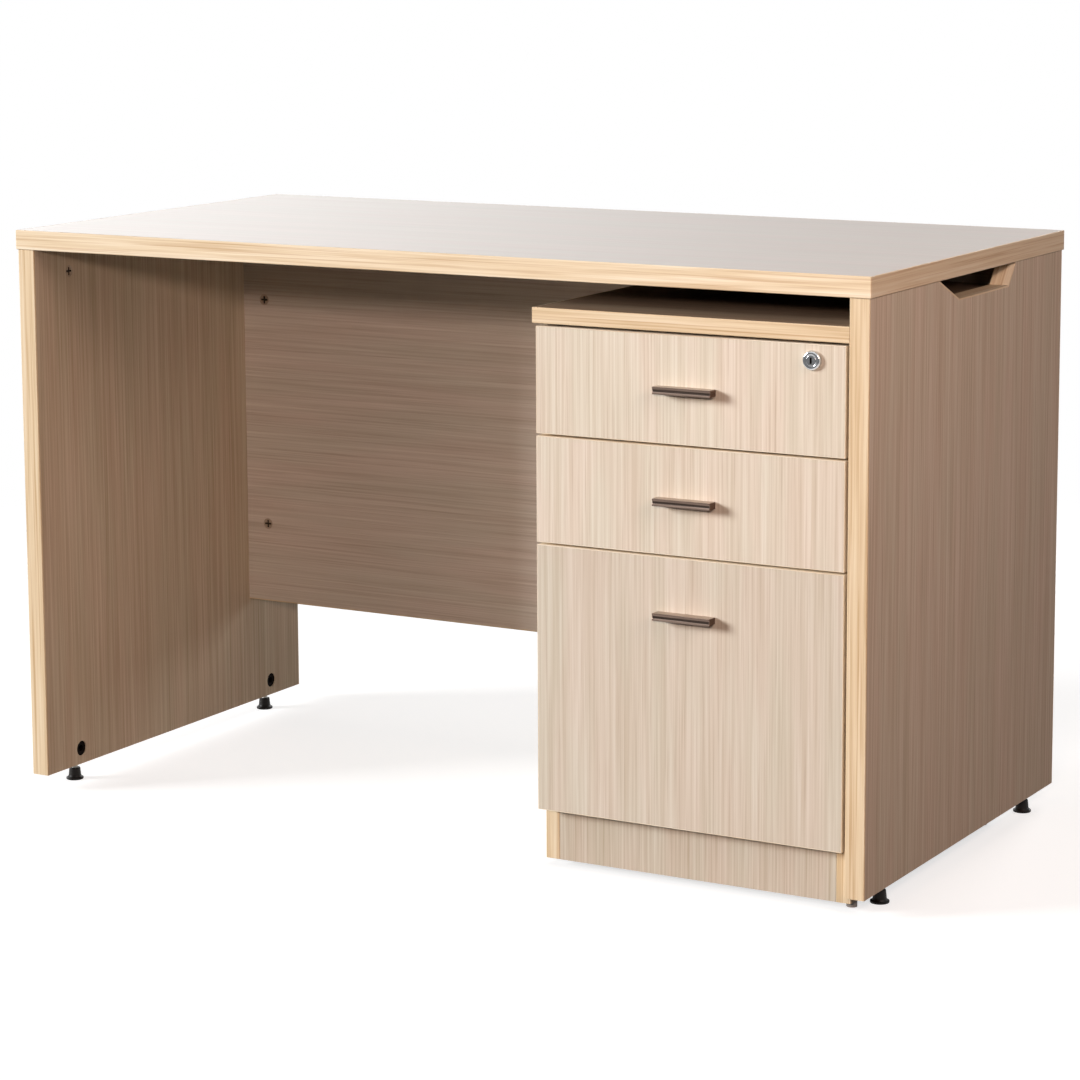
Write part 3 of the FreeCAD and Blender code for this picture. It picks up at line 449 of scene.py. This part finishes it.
# Edge band strips of the upright boards and of the pedestal
BAND_ROUND = 1.2 * MM
LINER_ROUND = 0.2 * MM
LINER_REACH = 0.2


def add_box(shape, low, high):
    """A box between two corners."""
    size = [end - start for start, end in zip(low, high)]
    middle = [(start + end) / 2 for start, end in zip(low, high)]
    place = Matrix.Translation(middle) @ Matrix.Diagonal((*size, 1))
    bmesh.ops.create_cube(shape, size=1, matrix=place)


def add_strip(shape, low, high, outward, along, material_index):
    """An edge band strip whose two long outer edges are rounded."""
    part = bmesh.new()
    add_box(part, low, high)
    index = "XYZ".index(outward[1])
    outer = (high if outward[0] == "+" else low)[index]
    way = "XYZ".index(along)
    chosen = []
    for edge in part.edges:
        first, second = (vertex.co for vertex in edge.verts)
        runs = abs(first[way] - second[way]) > 0.5 * (high[way] - low[way])
        if runs and max(abs(first[index] - outer), abs(second[index] - outer)) < MERGE_DISTANCE:
            chosen.append(edge)
    round_edges(part, chosen, BAND_ROUND, 4)
    join_part(shape, part, material_index)


def join_part(shape, part, material_index):
    """Adds a part to a shape and gives all of its faces one material."""
    for face in part.faces:
        face.material_index = material_index
    mesh = bpy.data.meshes.new("part")
    part.to_mesh(mesh)
    part.free()
    shape.from_mesh(mesh)
    bpy.data.meshes.remove(mesh)


def edge_strips():
    """All strips of panel_edge_bands, with the liner of the cable notch."""
    shape = bmesh.new()
    low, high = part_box("panel_edge_bands")
    upright, crosswise, deep = 0, 1, 2
    for panel in ("left_panel", "right_panel"):
        start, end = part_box(panel)
        add_strip(shape, (start.x, low.y, start.z), (end.x, start.y, end.z), "-Y", "Z", upright)
        add_strip(shape, (start.x, end.y, start.z), (end.x, high.y, end.z), "+Y", "Z", upright)
    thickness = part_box("left_panel")[0].y - low.y
    start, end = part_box("modesty_panel")
    add_strip(shape, (start.x, start.y, start.z - thickness), (end.x, end.y, start.z), "-Z", "X", crosswise)
    start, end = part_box("pedestal_top")
    add_strip(shape, (start.x - thickness, start.y - thickness, start.z), (end.x, start.y, end.z),
              "-Y", "X", crosswise)
    add_strip(shape, (start.x - thickness, start.y, start.z), (start.x, end.y, end.z), "-X", "Y", deep)
    for side in ("pedestal_left_side", "pedestal_right_side"):
        start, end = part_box(side)
        add_strip(shape, (start.x, start.y - thickness, start.z), (end.x, start.y, end.z), "-Y", "Z", upright)
    liner = bmesh.new()
    liner.from_mesh(nodes["panel_edge_bands"].data)
    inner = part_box("right_panel")[0].x - MERGE_DISTANCE
    outside = [v for v in liner.verts if v.co.x < inner or abs(v.co.y) > LINER_REACH]
    bmesh.ops.delete(liner, geom=outside, context="VERTS")
    join_flats(liner)
    sharp = [edge for edge in liner.edges if is_sharp(edge)]
    round_edges(liner, sharp, LINER_ROUND, 2)
    join_part(shape, liner, deep)
    graphs = [upright_band, cross_band, deep_band]
    add_piece("panel_edge_bands_finished", shape, "panel_edge_bands", graphs)


edge_strips()

# Turned and drawn-out hardware
AXES = {"x": Vector((1, 0, 0)), "y": Vector((0, 1, 0)), "z": Vector((0, 0, 1))}


def loft(shape, loops, closed=False):
    """Joins rings of equally many points, with flat ends or the last ring joined to the first."""
    rows = [[shape.verts.new(point) for point in loop] for loop in loops]
    count = len(rows[0])
    pairs = list(zip(rows, rows[1:]))
    if closed:
        pairs.append((rows[-1], rows[0]))
    faces = []
    for near, far in pairs:
        for index in range(count):
            after = (index + 1) % count
            faces.append(shape.faces.new((near[index], near[after], far[after], far[index])))
    if not closed:
        faces.append(shape.faces.new(rows[0]))
        faces.append(shape.faces.new(rows[-1]))
    bmesh.ops.recalc_face_normals(shape, faces=faces)


def ring(centre, axis, along, radius, count):
    """A ring around an axis. The radius is a length or gives a length for each angle."""
    first = AXES["x"] if abs(axis.z) > 0.5 else AXES["z"]
    second = axis.cross(first)
    points = []
    for index in range(count):
        angle = math.tau * index / count
        reach = radius(angle) if callable(radius) else radius
        way = first * math.cos(angle) + second * math.sin(angle)
        points.append(centre + axis * along + way * reach)
    return points


def turned(shape, centre, axis, profile, count, closed=False):
    """A turned part from pairs of a distance along the axis and a radius."""
    loft(shape, [ring(centre, axis, along, radius, count) for along, radius in profile], closed)


def arc(along, radius, reach, start, end, steps=4, reach_along=None):
    """Profile points on a quarter arc, or on a part of an ellipse, around a place in the profile."""
    points = []
    for step in range(steps + 1):
        angle = math.radians(start + (end - start) * step / steps)
        points.append((along + (reach_along or reach) * math.sin(angle), radius + reach * math.cos(angle)))
    return points


def fillet(corners, radii, steps):
    """A closed outline with its corners rounded."""
    outline = []
    for index, corner in enumerate(corners):
        before = (corners[index - 1] - corner).normalized()
        after = (corners[(index + 1) % len(corners)] - corner).normalized()
        start = corner + before * radii[index]
        end = corner + after * radii[index]
        for step in range(steps + 1):
            share = step / steps
            outline.append(start * (1 - share) ** 2 + corner * 2 * share * (1 - share) + end * share ** 2)
    return outline


HANDLE_BACK_HALF = 4 * MM
HANDLE_GROOVE = 6 * MM
HANDLE_GROOVE_DEPTH = 1.1 * MM
HANDLE_GROOVE_STEPS = 10
HANDLE_GROOVE_EDGE_ROUND = 0.25 * MM
HANDLE_GROOVE_BLEND = 0.05 * MM
HANDLE_BACK_ROUND = 0.3 * MM
HANDLE_FRONT_ROUND = 0.55 * MM
HANDLE_END_ROUND = 0.7 * MM
HANDLE_END_STEPS = 4


def handle(drawer):
    """A bar with a hollow front face, slightly higher in front than at the drawer."""
    node = f"drawer_{drawer}_handle"
    low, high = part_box(node)
    middle = Vector((0, (low.y + high.y) / 2, (low.z + high.z) / 2))
    half = (high.z - low.z) / 2
    outside = HANDLE_GROOVE - HANDLE_GROOVE_DEPTH
    lip = math.sqrt(HANDLE_GROOVE ** 2 - outside ** 2)
    corners = [
        Vector((0, high.y, middle.z - HANDLE_BACK_HALF)),
        Vector((0, high.y, middle.z + HANDLE_BACK_HALF)),
        Vector((0, low.y, middle.z + half)),
    ]
    radii = [HANDLE_BACK_ROUND, HANDLE_BACK_ROUND, HANDLE_FRONT_ROUND]
    for step in range(HANDLE_GROOVE_STEPS + 1):
        rise = lip * (1 - 2 * step / HANDLE_GROOVE_STEPS)
        depth = math.sqrt(HANDLE_GROOVE ** 2 - rise ** 2) - outside
        corners.append(Vector((0, low.y + depth, middle.z + rise)))
        at_edge = step in (0, HANDLE_GROOVE_STEPS)
        radii.append(HANDLE_GROOVE_EDGE_ROUND if at_edge else HANDLE_GROOVE_BLEND)
    corners.append(Vector((0, low.y, middle.z - half)))
    radii.append(HANDLE_FRONT_ROUND)
    outline = fillet(corners, radii, 3)
    loops = []
    for end, way in ((low.x, 1), (high.x, -1)):
        rounded = []
        for step in range(HANDLE_END_STEPS + 1):
            angle = math.radians(90 * step / HANDLE_END_STEPS)
            inset = HANDLE_END_ROUND * (1 - math.sin(angle))
            scale_y = 1 - 2 * inset / (high.y - low.y)
            scale_z = 1 - 2 * inset / (high.z - low.z)
            x = end + way * HANDLE_END_ROUND * (1 - math.cos(angle))
            rounded.append([Vector((x, middle.y + (point.y - middle.y) * scale_y,
                                    middle.z + (point.z - middle.z) * scale_z)) for point in outline])
        loops += rounded if way > 0 else rounded[::-1]
    shape = bmesh.new()
    loft(shape, loops)
    # The top faces get the painted highlight bronze.
    for face in shape.faces:
        place = face.calc_center_median()
        # The faces in the hollow get the painted dark reflection bronze.
        hollow = place.y < low.y + HANDLE_GROOVE_DEPTH and abs(place.z - middle.z) < 0.45 * lip
        if face.normal.z > FACING_SHARE:
            face.material_index = 1
        elif hollow and abs(face.normal.x) < 1 - FACING_SHARE:
            face.material_index = 2
    add_piece(node + "_finished", shape, node, [bronze, bronze_painted_highlight, bronze_painted_dark_reflection])


for drawer in DRAWERS:
    handle(drawer)

LOCK_RADIUS = 11.5 * MM
LOCK_RIM_DEPTH = 0.9 * MM
LOCK_RIM_ROUND = 2.6 * MM
LOCK_GROOVE_RADIUS = 7.6 * MM
LOCK_GROOVE_FLOOR_RADII = (7.3 * MM, 6.5 * MM)
LOCK_GROOVE_DEPTH = 0.25 * MM
LOCK_MOUTH_DEPTH = 0.5 * MM
BARREL_RADIUS = 9.5 * MM
CASE_ROUND = 0.6 * MM
PLUG_RADIUS = 6 * MM
PLUG_CLEARANCE = 0.05 * MM
PLUG_ROUND = 0.3 * MM
KEYWAY_HALF = Vector((0.9 * MM, 3.25 * MM))
KEYWAY_CHAMFER = 0.35 * MM
KEYWAY_DEPTH = 9 * MM
PLUG_FACE_DEPTH = 0.1 * MM
SMALLEST_SHARE = 0.001


def lock():
    """The lock's round face and barrel, its case behind the drawer front, and its key plug."""
    low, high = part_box("lock_housing")
    plug_low, plug_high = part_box("lock_plug")
    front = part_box("drawer_1_front")
    centre = Vector(((plug_low.x + plug_high.x) / 2, 0, (plug_low.z + plug_high.z) / 2))
    face = -low.y
    seat = -front[0].y
    shape = bmesh.new()
    bore = PLUG_RADIUS + PLUG_CLEARANCE
    profile = [(-front[1].y, bore), (-front[1].y, BARREL_RADIUS), (seat, BARREL_RADIUS), (seat, LOCK_RADIUS)]
    profile += arc(seat + LOCK_RIM_DEPTH, LOCK_RADIUS - LOCK_RIM_ROUND, LOCK_RIM_ROUND, 0, 90, 8,
                   face - seat - LOCK_RIM_DEPTH)
    profile.append((face, LOCK_GROOVE_RADIUS))
    profile += [(face - LOCK_GROOVE_DEPTH, radius) for radius in LOCK_GROOVE_FLOOR_RADII]
    profile.append((face - LOCK_MOUTH_DEPTH, bore))
    turned(shape, centre, -AXES["y"], profile, 64, closed=True)
    case = solid_copy("lock_housing")
    everything = case.verts[:] + case.edges[:] + case.faces[:]
    bmesh.ops.bisect_plane(case, geom=everything, plane_co=(0, front[1].y, 0), plane_no=(0, -1, 0),
                           clear_outer=True)
    round_edges(case, long_sharp_edges(case), CASE_ROUND, 3)
    join_part(shape, case, 0)
    add_piece("lock_housing_finished", shape, "lock_housing", [chrome])

    def keyway(widening):
        def reach(angle):
            return min((KEYWAY_HALF.x + widening) / max(abs(math.sin(angle)), SMALLEST_SHARE),
                       (KEYWAY_HALF.y + widening) / max(abs(math.cos(angle)), SMALLEST_SHARE))
        return reach

    plug = bmesh.new()
    axis = -AXES["y"]
    back, face = -plug_high.y, -plug_low.y
    profile = [(back, PLUG_RADIUS)]
    profile += arc(face - PLUG_ROUND, PLUG_RADIUS - PLUG_ROUND, PLUG_ROUND, 0, 90, 3)
    profile += [(face, keyway(KEYWAY_CHAMFER)), (face - KEYWAY_CHAMFER, keyway(0)),
                (face - KEYWAY_DEPTH, keyway(0))]
    turned(plug, centre, axis, profile, 96)
    # The keyway's walls get the painted shade metal.
    for face_of in plug.faces:
        middle = face_of.calc_center_median()
        inside = (middle - centre).xz.length < 0.6 * PLUG_RADIUS
        if inside and middle.y > plug_low.y + PLUG_FACE_DEPTH:
            face_of.material_index = 1
    add_piece("lock_plug_finished", plug, "lock_plug", [chrome, keyway_painted_shade])


lock()


def islands(shape):
    """The vertices of each separate part."""
    seen, groups = set(), []
    for vertex in shape.verts:
        if vertex in seen:
            continue
        seen.add(vertex)
        group, waiting = [], [vertex]
        while waiting:
            here = waiting.pop()
            group.append(here)
            for edge in here.link_edges:
                other = edge.other_vert(here)
                if other not in seen:
                    seen.add(other)
                    waiting.append(other)
        groups.append(group)
    return groups


CAM_RADIUS = 7.5 * MM
CAM_RADIUS_SLACK = 0.05 * MM
CAM_EDGE_DROP = 0.05 * MM
CAM_RIM = 0.7 * MM
CAM_RIM_SLOPE_END = 1.1 * MM
CAM_RECESS = 0.5 * MM
CAM_BACK_SKIN = 0.1 * MM
CROSS_LONG_HALF = 5 * MM
CROSS_SHORT_HALF = 1 * MM
CROSS_CHAMFER = 0.3 * MM
CROSS_CHAMFER_DEPTH = 0.4 * MM
CROSS_DEPTH = 2.2 * MM
CROSS_NARROWING = 0.15 * MM
CROSS_REACH = 5.6 * MM


def cam_facing(group):
    """The direction in which a cam's slotted face looks, or nothing for any other part."""
    spans = [max(v.co[i] for v in group) - min(v.co[i] for v in group) for i in range(3)]
    if sum(abs(span - 2 * CAM_RADIUS) < CAM_RADIUS_SLACK for span in spans) < 2:
        return None
    for index, letter in enumerate("xyz"):
        levels = sorted({round(v.co[index] / MM, 1) for v in group})
        if len(levels) == 3:
            return AXES[letter] * (1 if levels[2] - levels[1] < levels[1] - levels[0] else -1)
    return None


def add_cam(shape, group, facing):
    """A cam disc, a little below the board's face, with a cross recess."""
    low = Vector([min(v.co[i] for v in group) for i in range(3)])
    high = Vector([max(v.co[i] for v in group) for i in range(3)])
    middle = (low + high) / 2
    reach = abs((high - low).dot(facing)) / 2

    def cross(widening):
        long_half = CROSS_LONG_HALF + widening
        short_half = CROSS_SHORT_HALF + widening

        def distance(angle):
            across = max(abs(math.cos(angle)), SMALLEST_SHARE)
            rise = max(abs(math.sin(angle)), SMALLEST_SHARE)
            return max(min(long_half / across, short_half / rise), min(short_half / across, long_half / rise))
        return distance

    face = reach - CAM_RECESS
    edge = reach - CAM_EDGE_DROP
    profile = [
        (-reach, CAM_RADIUS), (edge, CAM_RADIUS), (edge, CAM_RADIUS - CAM_RIM),
        (face, CAM_RADIUS - CAM_RIM_SLOPE_END), (face, cross(CROSS_CHAMFER)),
        (face - CROSS_CHAMFER_DEPTH, cross(0)), (face - CROSS_DEPTH, cross(-CROSS_NARROWING)),
    ]
    before = set(shape.faces)
    turned(shape, middle, facing, profile, 96)
    # The faces of the cross recess get the painted shade metal.
    for side in set(shape.faces) - before:
        offset = side.calc_center_median() - middle
        along = offset.dot(facing)
        inside = (offset - facing * along).length < CROSS_REACH
        if inside and CAM_BACK_SKIN - reach < along < face - CAM_EDGE_DROP:
            side.material_index = 1


def fittings(node, graph):
    """A group of small metal parts, with its cams made anew."""
    source = solid_copy(node)
    shape = bmesh.new()
    for group in islands(source):
        facing = cam_facing(group)
        if facing is not None:
            add_cam(shape, group, facing)
            bmesh.ops.delete(source, geom=group, context="VERTS")
    if source.verts:
        join_part(shape, source, 0)
    add_piece(node + "_finished", shape, node, [graph, cam_recess_painted_shade])


fittings("cam_fittings", cam_zinc)
for drawer in DRAWERS:
    fittings(f"drawer_{drawer}_fasteners", zinc)
fittings("pedestal_screws", zinc)

RIM_ROUND = 0.25 * MM


def rounded_part(node):
    """A small part, or a group of them, with all of its sharp edges rounded."""
    shape = solid_copy(node)
    sharp = [edge for edge in shape.edges if is_sharp(edge, 40)]
    round_edges(shape, sharp, RIM_ROUND, 2)
    add_piece(node + "_finished", shape, node, [NODE_MATERIALS[node]])


rounded_part("foot_sockets")
rounded_part("pedestal_glides")
rounded_part("lock_bolt")
softened("fixed_runners", RUNNER_ROUND)
for drawer in DRAWERS:
    softened(f"drawer_{drawer}_inner_runners", RUNNER_ROUND)
    softened(f"drawer_{drawer}_middle_runners", RUNNER_ROUND)

PAD_RIM_ROUND = 0.6 * MM
PAD_SHOULDER_HEIGHT = 2.2 * MM
PAD_SHOULDER_ROUND = 0.5 * MM
PAD_NECK_RADIUS = 8.1 * MM
PAD_NECK_HEIGHT = 8 * MM
PAD_FLARE_RISE = 5.4 * MM
PAD_TOP_ROUND = 0.8 * MM
PAD_TOP_INSET = 1.5 * MM
STUD_RADIUS = 4 * MM
THREAD_PITCH = 1.25 * MM
THREAD_DEPTH = 0.65 * MM
THREAD_ROWS_PER_TURN = 8
THREAD_SLOPE = 2.3


def foot(name):
    """A bell-shaped foot pad and its threaded stud."""
    node = name + "_foot_pad"
    low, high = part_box(node)
    centre = Vector(((low.x + high.x) / 2, (low.y + high.y) / 2, 0))
    base = (high.x - low.x) / 2
    rim = base - PAD_RIM_ROUND
    flare = rim - PAD_NECK_RADIUS
    profile = arc(low.z + PAD_RIM_ROUND, rim, PAD_RIM_ROUND, -90, 0)
    profile += arc(low.z + PAD_SHOULDER_HEIGHT, base - PAD_SHOULDER_ROUND, PAD_SHOULDER_ROUND, 0, 75)
    profile += arc(low.z + PAD_NECK_HEIGHT, rim, -flare, -75, 0, 8, PAD_FLARE_RISE)
    profile += arc(high.z - PAD_TOP_ROUND, PAD_NECK_RADIUS - PAD_TOP_INSET, PAD_TOP_ROUND, 0, 90)
    shape = bmesh.new()
    turned(shape, centre, AXES["z"], profile, 64)
    add_piece(node + "_finished", shape, node, [black])

    node = name + "_foot_stud"
    low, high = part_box(node)

    def thread(height):
        def reach(angle):
            share = (height / THREAD_PITCH - angle / math.tau) % 1
            level = 0.5 * THREAD_SLOPE - abs(THREAD_SLOPE * (2 * share - 1))
            return STUD_RADIUS - THREAD_DEPTH * min(1, max(0, level))
        return reach

    shape = bmesh.new()
    rows = round((high.z - low.z) / THREAD_PITCH * THREAD_ROWS_PER_TURN)
    loops = []
    for row in range(rows + 1):
        height = low.z + (high.z - low.z) * row / rows
        loops.append(ring(centre, AXES["z"], height, thread(height), 24))
    loft(shape, loops)
    add_piece(node + "_finished", shape, node, [zinc])


for name in FEET:
    foot(name)

# Stage and lights
FLOOR_RADIUS = 6
FLOOR_FADE = (0.9, 2.4)
FLOOR_COLOUR = (0.5, 0.5, 0.5, 1)
FLOOR_GLOW = 0.7
FLOOR_BOUNCE_COLOUR = (0.05, 0.05, 0.05, 1)
AIM = Vector((0, 0, 0.4))


def stage_floor():
    """A white floor that fades into the white background, keeps the desk's shadow and hardly lights it."""
    shape = bmesh.new()
    bmesh.ops.create_circle(shape, cap_ends=True, segments=96, radius=FLOOR_RADIUS)
    mesh = bpy.data.meshes.new("stage_floor")
    shape.to_mesh(mesh)
    shape.free()
    floor = bpy.data.objects.new("stage_floor", mesh)
    bpy.context.scene.collection.objects.link(floor)
    graph = Graph("stage_floor")
    nodes_of, links = graph.nodes, graph.links
    nodes_of.remove(graph.shader)
    output = next(node for node in nodes_of if node.type == "OUTPUT_MATERIAL")
    path = nodes_of.new("ShaderNodeLightPath")
    seen = graph.calc("MAXIMUM", path.outputs["Is Camera Ray"], path.outputs["Is Glossy Ray"])
    seen = graph.calc("MAXIMUM", seen, path.outputs["Is Transmission Ray"])
    lit = nodes_of.new("ShaderNodeBsdfDiffuse")
    lit.inputs["Color"].default_value = FLOOR_COLOUR
    glow = nodes_of.new("ShaderNodeEmission")
    glow.inputs["Strength"].default_value = FLOOR_GLOW
    shown = nodes_of.new("ShaderNodeAddShader")
    links.new(lit.outputs[0], shown.inputs[0])
    links.new(glow.outputs[0], shown.inputs[1])
    dim = nodes_of.new("ShaderNodeBsdfDiffuse")
    dim.inputs["Color"].default_value = FLOOR_BOUNCE_COLOUR
    both = nodes_of.new("ShaderNodeMixShader")
    links.new(seen, both.inputs[0])
    links.new(dim.outputs[0], both.inputs[1])
    links.new(shown.outputs[0], both.inputs[2])
    clear = nodes_of.new("ShaderNodeBsdfTransparent")
    length = nodes_of.new("ShaderNodeVectorMath")
    length.operation = "LENGTH"
    links.new(graph.place, length.inputs[0])
    fade = graph.spread(length.outputs["Value"], *FLOOR_FADE)
    back = nodes_of.new("ShaderNodeNewGeometry").outputs["Backfacing"]
    faded = nodes_of.new("ShaderNodeMixShader")
    links.new(graph.calc("MAXIMUM", fade, back), faded.inputs[0])
    links.new(both.outputs[0], faded.inputs[1])
    links.new(clear.outputs[0], faded.inputs[2])
    links.new(faded.outputs[0], output.inputs["Surface"])
    mesh.materials.append(graph.material)


def direction(azimuth, elevation):
    """The direction from the desk towards a place: azimuth 0 is in front of it and 90 to its right."""
    across, rise = math.radians(azimuth), math.radians(elevation)
    level = math.cos(rise)
    return Vector((math.sin(across) * level, -math.cos(across) * level, math.sin(rise)))


def softbox(name, azimuth, elevation, distance, width, height, level, tint=(1, 1, 1)):
    """A rectangular light that faces the desk. A white surface that faces it renders at its level."""
    data = bpy.data.lights.new(name, "AREA")
    data.shape = "RECTANGLE"
    data.size = width
    data.size_y = height
    data.energy = level * math.pi ** 2 * distance ** 2
    data.color = tint
    lamp = bpy.data.objects.new(name, data)
    bpy.context.scene.collection.objects.link(lamp)
    away = direction(azimuth, elevation)
    lamp.location = AIM + away * distance
    lamp.rotation_mode = "QUATERNION"
    lamp.rotation_quaternion = away.to_track_quat("Z", "Y")
    lamp.visible_camera = False
    return lamp


def fade_across(lamp):
    """Lets a softbox fade out towards one of its sides."""
    data = lamp.data
    data.use_nodes = True
    tree = data.node_tree
    tree.nodes.clear()
    output = tree.nodes.new("ShaderNodeOutputLight")
    glow = tree.nodes.new("ShaderNodeEmission")
    split = tree.nodes.new("ShaderNodeSeparateXYZ")
    across = tree.nodes.new("ShaderNodeNewGeometry").outputs["Parametric"]
    tree.links.new(across, split.inputs[0])
    spread = tree.nodes.new("ShaderNodeMapRange")
    spread.interpolation_type = "SMOOTHSTEP"
    spread.inputs["To Max"].default_value = 2
    tree.links.new(split.outputs[0], spread.inputs["Value"])
    tree.links.new(spread.outputs[0], glow.inputs["Strength"])
    tree.links.new(glow.outputs[0], output.inputs["Surface"])


stage_floor()
softbox("key_softbox", azimuth=-53, elevation=16, distance=14.0, width=4.4, height=3.8, level=1.30,
        tint=(0.98, 1.0, 1.01))
frontal = softbox("camera_softbox", azimuth=23, elevation=15.1, distance=5.5, width=0.5, height=0.35,
                  level=0.28, tint=(1.0, 0.77, 0.65))
frontal.visible_glossy = False
softbox("right_softbox", azimuth=66, elevation=27, distance=2.6, width=1.2, height=0.9, level=0.29,
        tint=(1.0, 0.75, 0.65))
softbox("overhead_softbox", azimuth=0, elevation=88, distance=3.2, width=2.0, height=1.4, level=0.05)
back_left = softbox("back_left_softbox", azimuth=-142, elevation=12, distance=3.4, width=3.4, height=1.8,
                    level=0.16)
fade_across(back_left)
softbox("back_softbox", azimuth=177, elevation=15, distance=3.8, width=0.7, height=1.4, level=0.46)

FRONT_LEVEL = 0.22
AMBIENT_LEVEL = 0.005
BACKWARD_FADE = (-0.5, 0.1)
UPWARD_FADE = (0.25, 0.7)


def studio_world():
    """White behind the desk and above it, darker in front for reflections, and hardly any ambient light."""
    world = bpy.data.worlds.new("white_background")
    bpy.context.scene.world = world
    world.use_nodes = True
    tree = world.node_tree
    tree.nodes.clear()

    def calc(operation, first, second):
        node = tree.nodes.new("ShaderNodeMath")
        node.operation = operation
        for index, value in enumerate((first, second)):
            if isinstance(value, bpy.types.NodeSocket):
                tree.links.new(value, node.inputs[index])
            else:
                node.inputs[index].default_value = value
        return node.outputs[0]

    def spread(value, low, high):
        node = tree.nodes.new("ShaderNodeMapRange")
        node.interpolation_type = "SMOOTHSTEP"
        node.inputs["From Min"].default_value = low
        node.inputs["From Max"].default_value = high
        tree.links.new(value, node.inputs["Value"])
        return node.outputs[0]

    output = tree.nodes.new("ShaderNodeOutputWorld")
    background = tree.nodes.new("ShaderNodeBackground")
    path = tree.nodes.new("ShaderNodeLightPath")
    way = tree.nodes.new("ShaderNodeSeparateXYZ")
    tree.links.new(tree.nodes.new("ShaderNodeTexCoord").outputs["Generated"], way.inputs[0])
    bright = calc("MAXIMUM", spread(way.outputs[1], *BACKWARD_FADE), spread(way.outputs[2], *UPWARD_FADE))
    mirrored = calc("ADD", calc("MULTIPLY", bright, 1 - FRONT_LEVEL), FRONT_LEVEL)
    plain = calc("MAXIMUM", path.outputs["Is Camera Ray"], path.outputs["Is Transmission Ray"])
    seen = calc("MAXIMUM", plain, calc("MULTIPLY", path.outputs["Is Glossy Ray"], mirrored))
    tree.links.new(calc("MAXIMUM", seen, AMBIENT_LEVEL), background.inputs["Strength"])
    background.inputs["Color"].default_value = (1, 1, 1, 1)
    tree.links.new(background.outputs[0], output.inputs["Surface"])


studio_world()

# Camera, at the photograph's viewing angle
CAMERA_PLACE = (2.105631, -3.693317, 1.155240)
CAMERA_AZIMUTH = 29.583
CAMERA_ELEVATION = 8.795
CAMERA_ROLL = -0.286
LENS = 111.49
SENSOR = 36
SHIFT_Y = -0.1111
CLIP_START = 0.1
CLIP_END = 100

camera_data = bpy.data.cameras.new("camera")
camera_data.lens = LENS
camera_data.sensor_width = SENSOR
camera_data.shift_y = SHIFT_Y
camera = bpy.data.objects.new("camera", camera_data)
bpy.context.scene.collection.objects.link(camera)
bpy.context.scene.camera = camera
back = direction(CAMERA_AZIMUTH, CAMERA_ELEVATION)
right = Vector((0, 0, 1)).cross(back).normalized()
up = back.cross(right)
roll = math.radians(CAMERA_ROLL)
camera_right = right * math.cos(roll) + up * math.sin(roll)
camera_up = up * math.cos(roll) - right * math.sin(roll)
turn = Matrix((camera_right, camera_up, back)).transposed().to_4x4()
camera.matrix_world = Matrix.Translation(CAMERA_PLACE) @ turn
camera_data.clip_start = CLIP_START
camera_data.clip_end = CLIP_END

bpy.context.scene.view_settings.view_transform = "Standard"
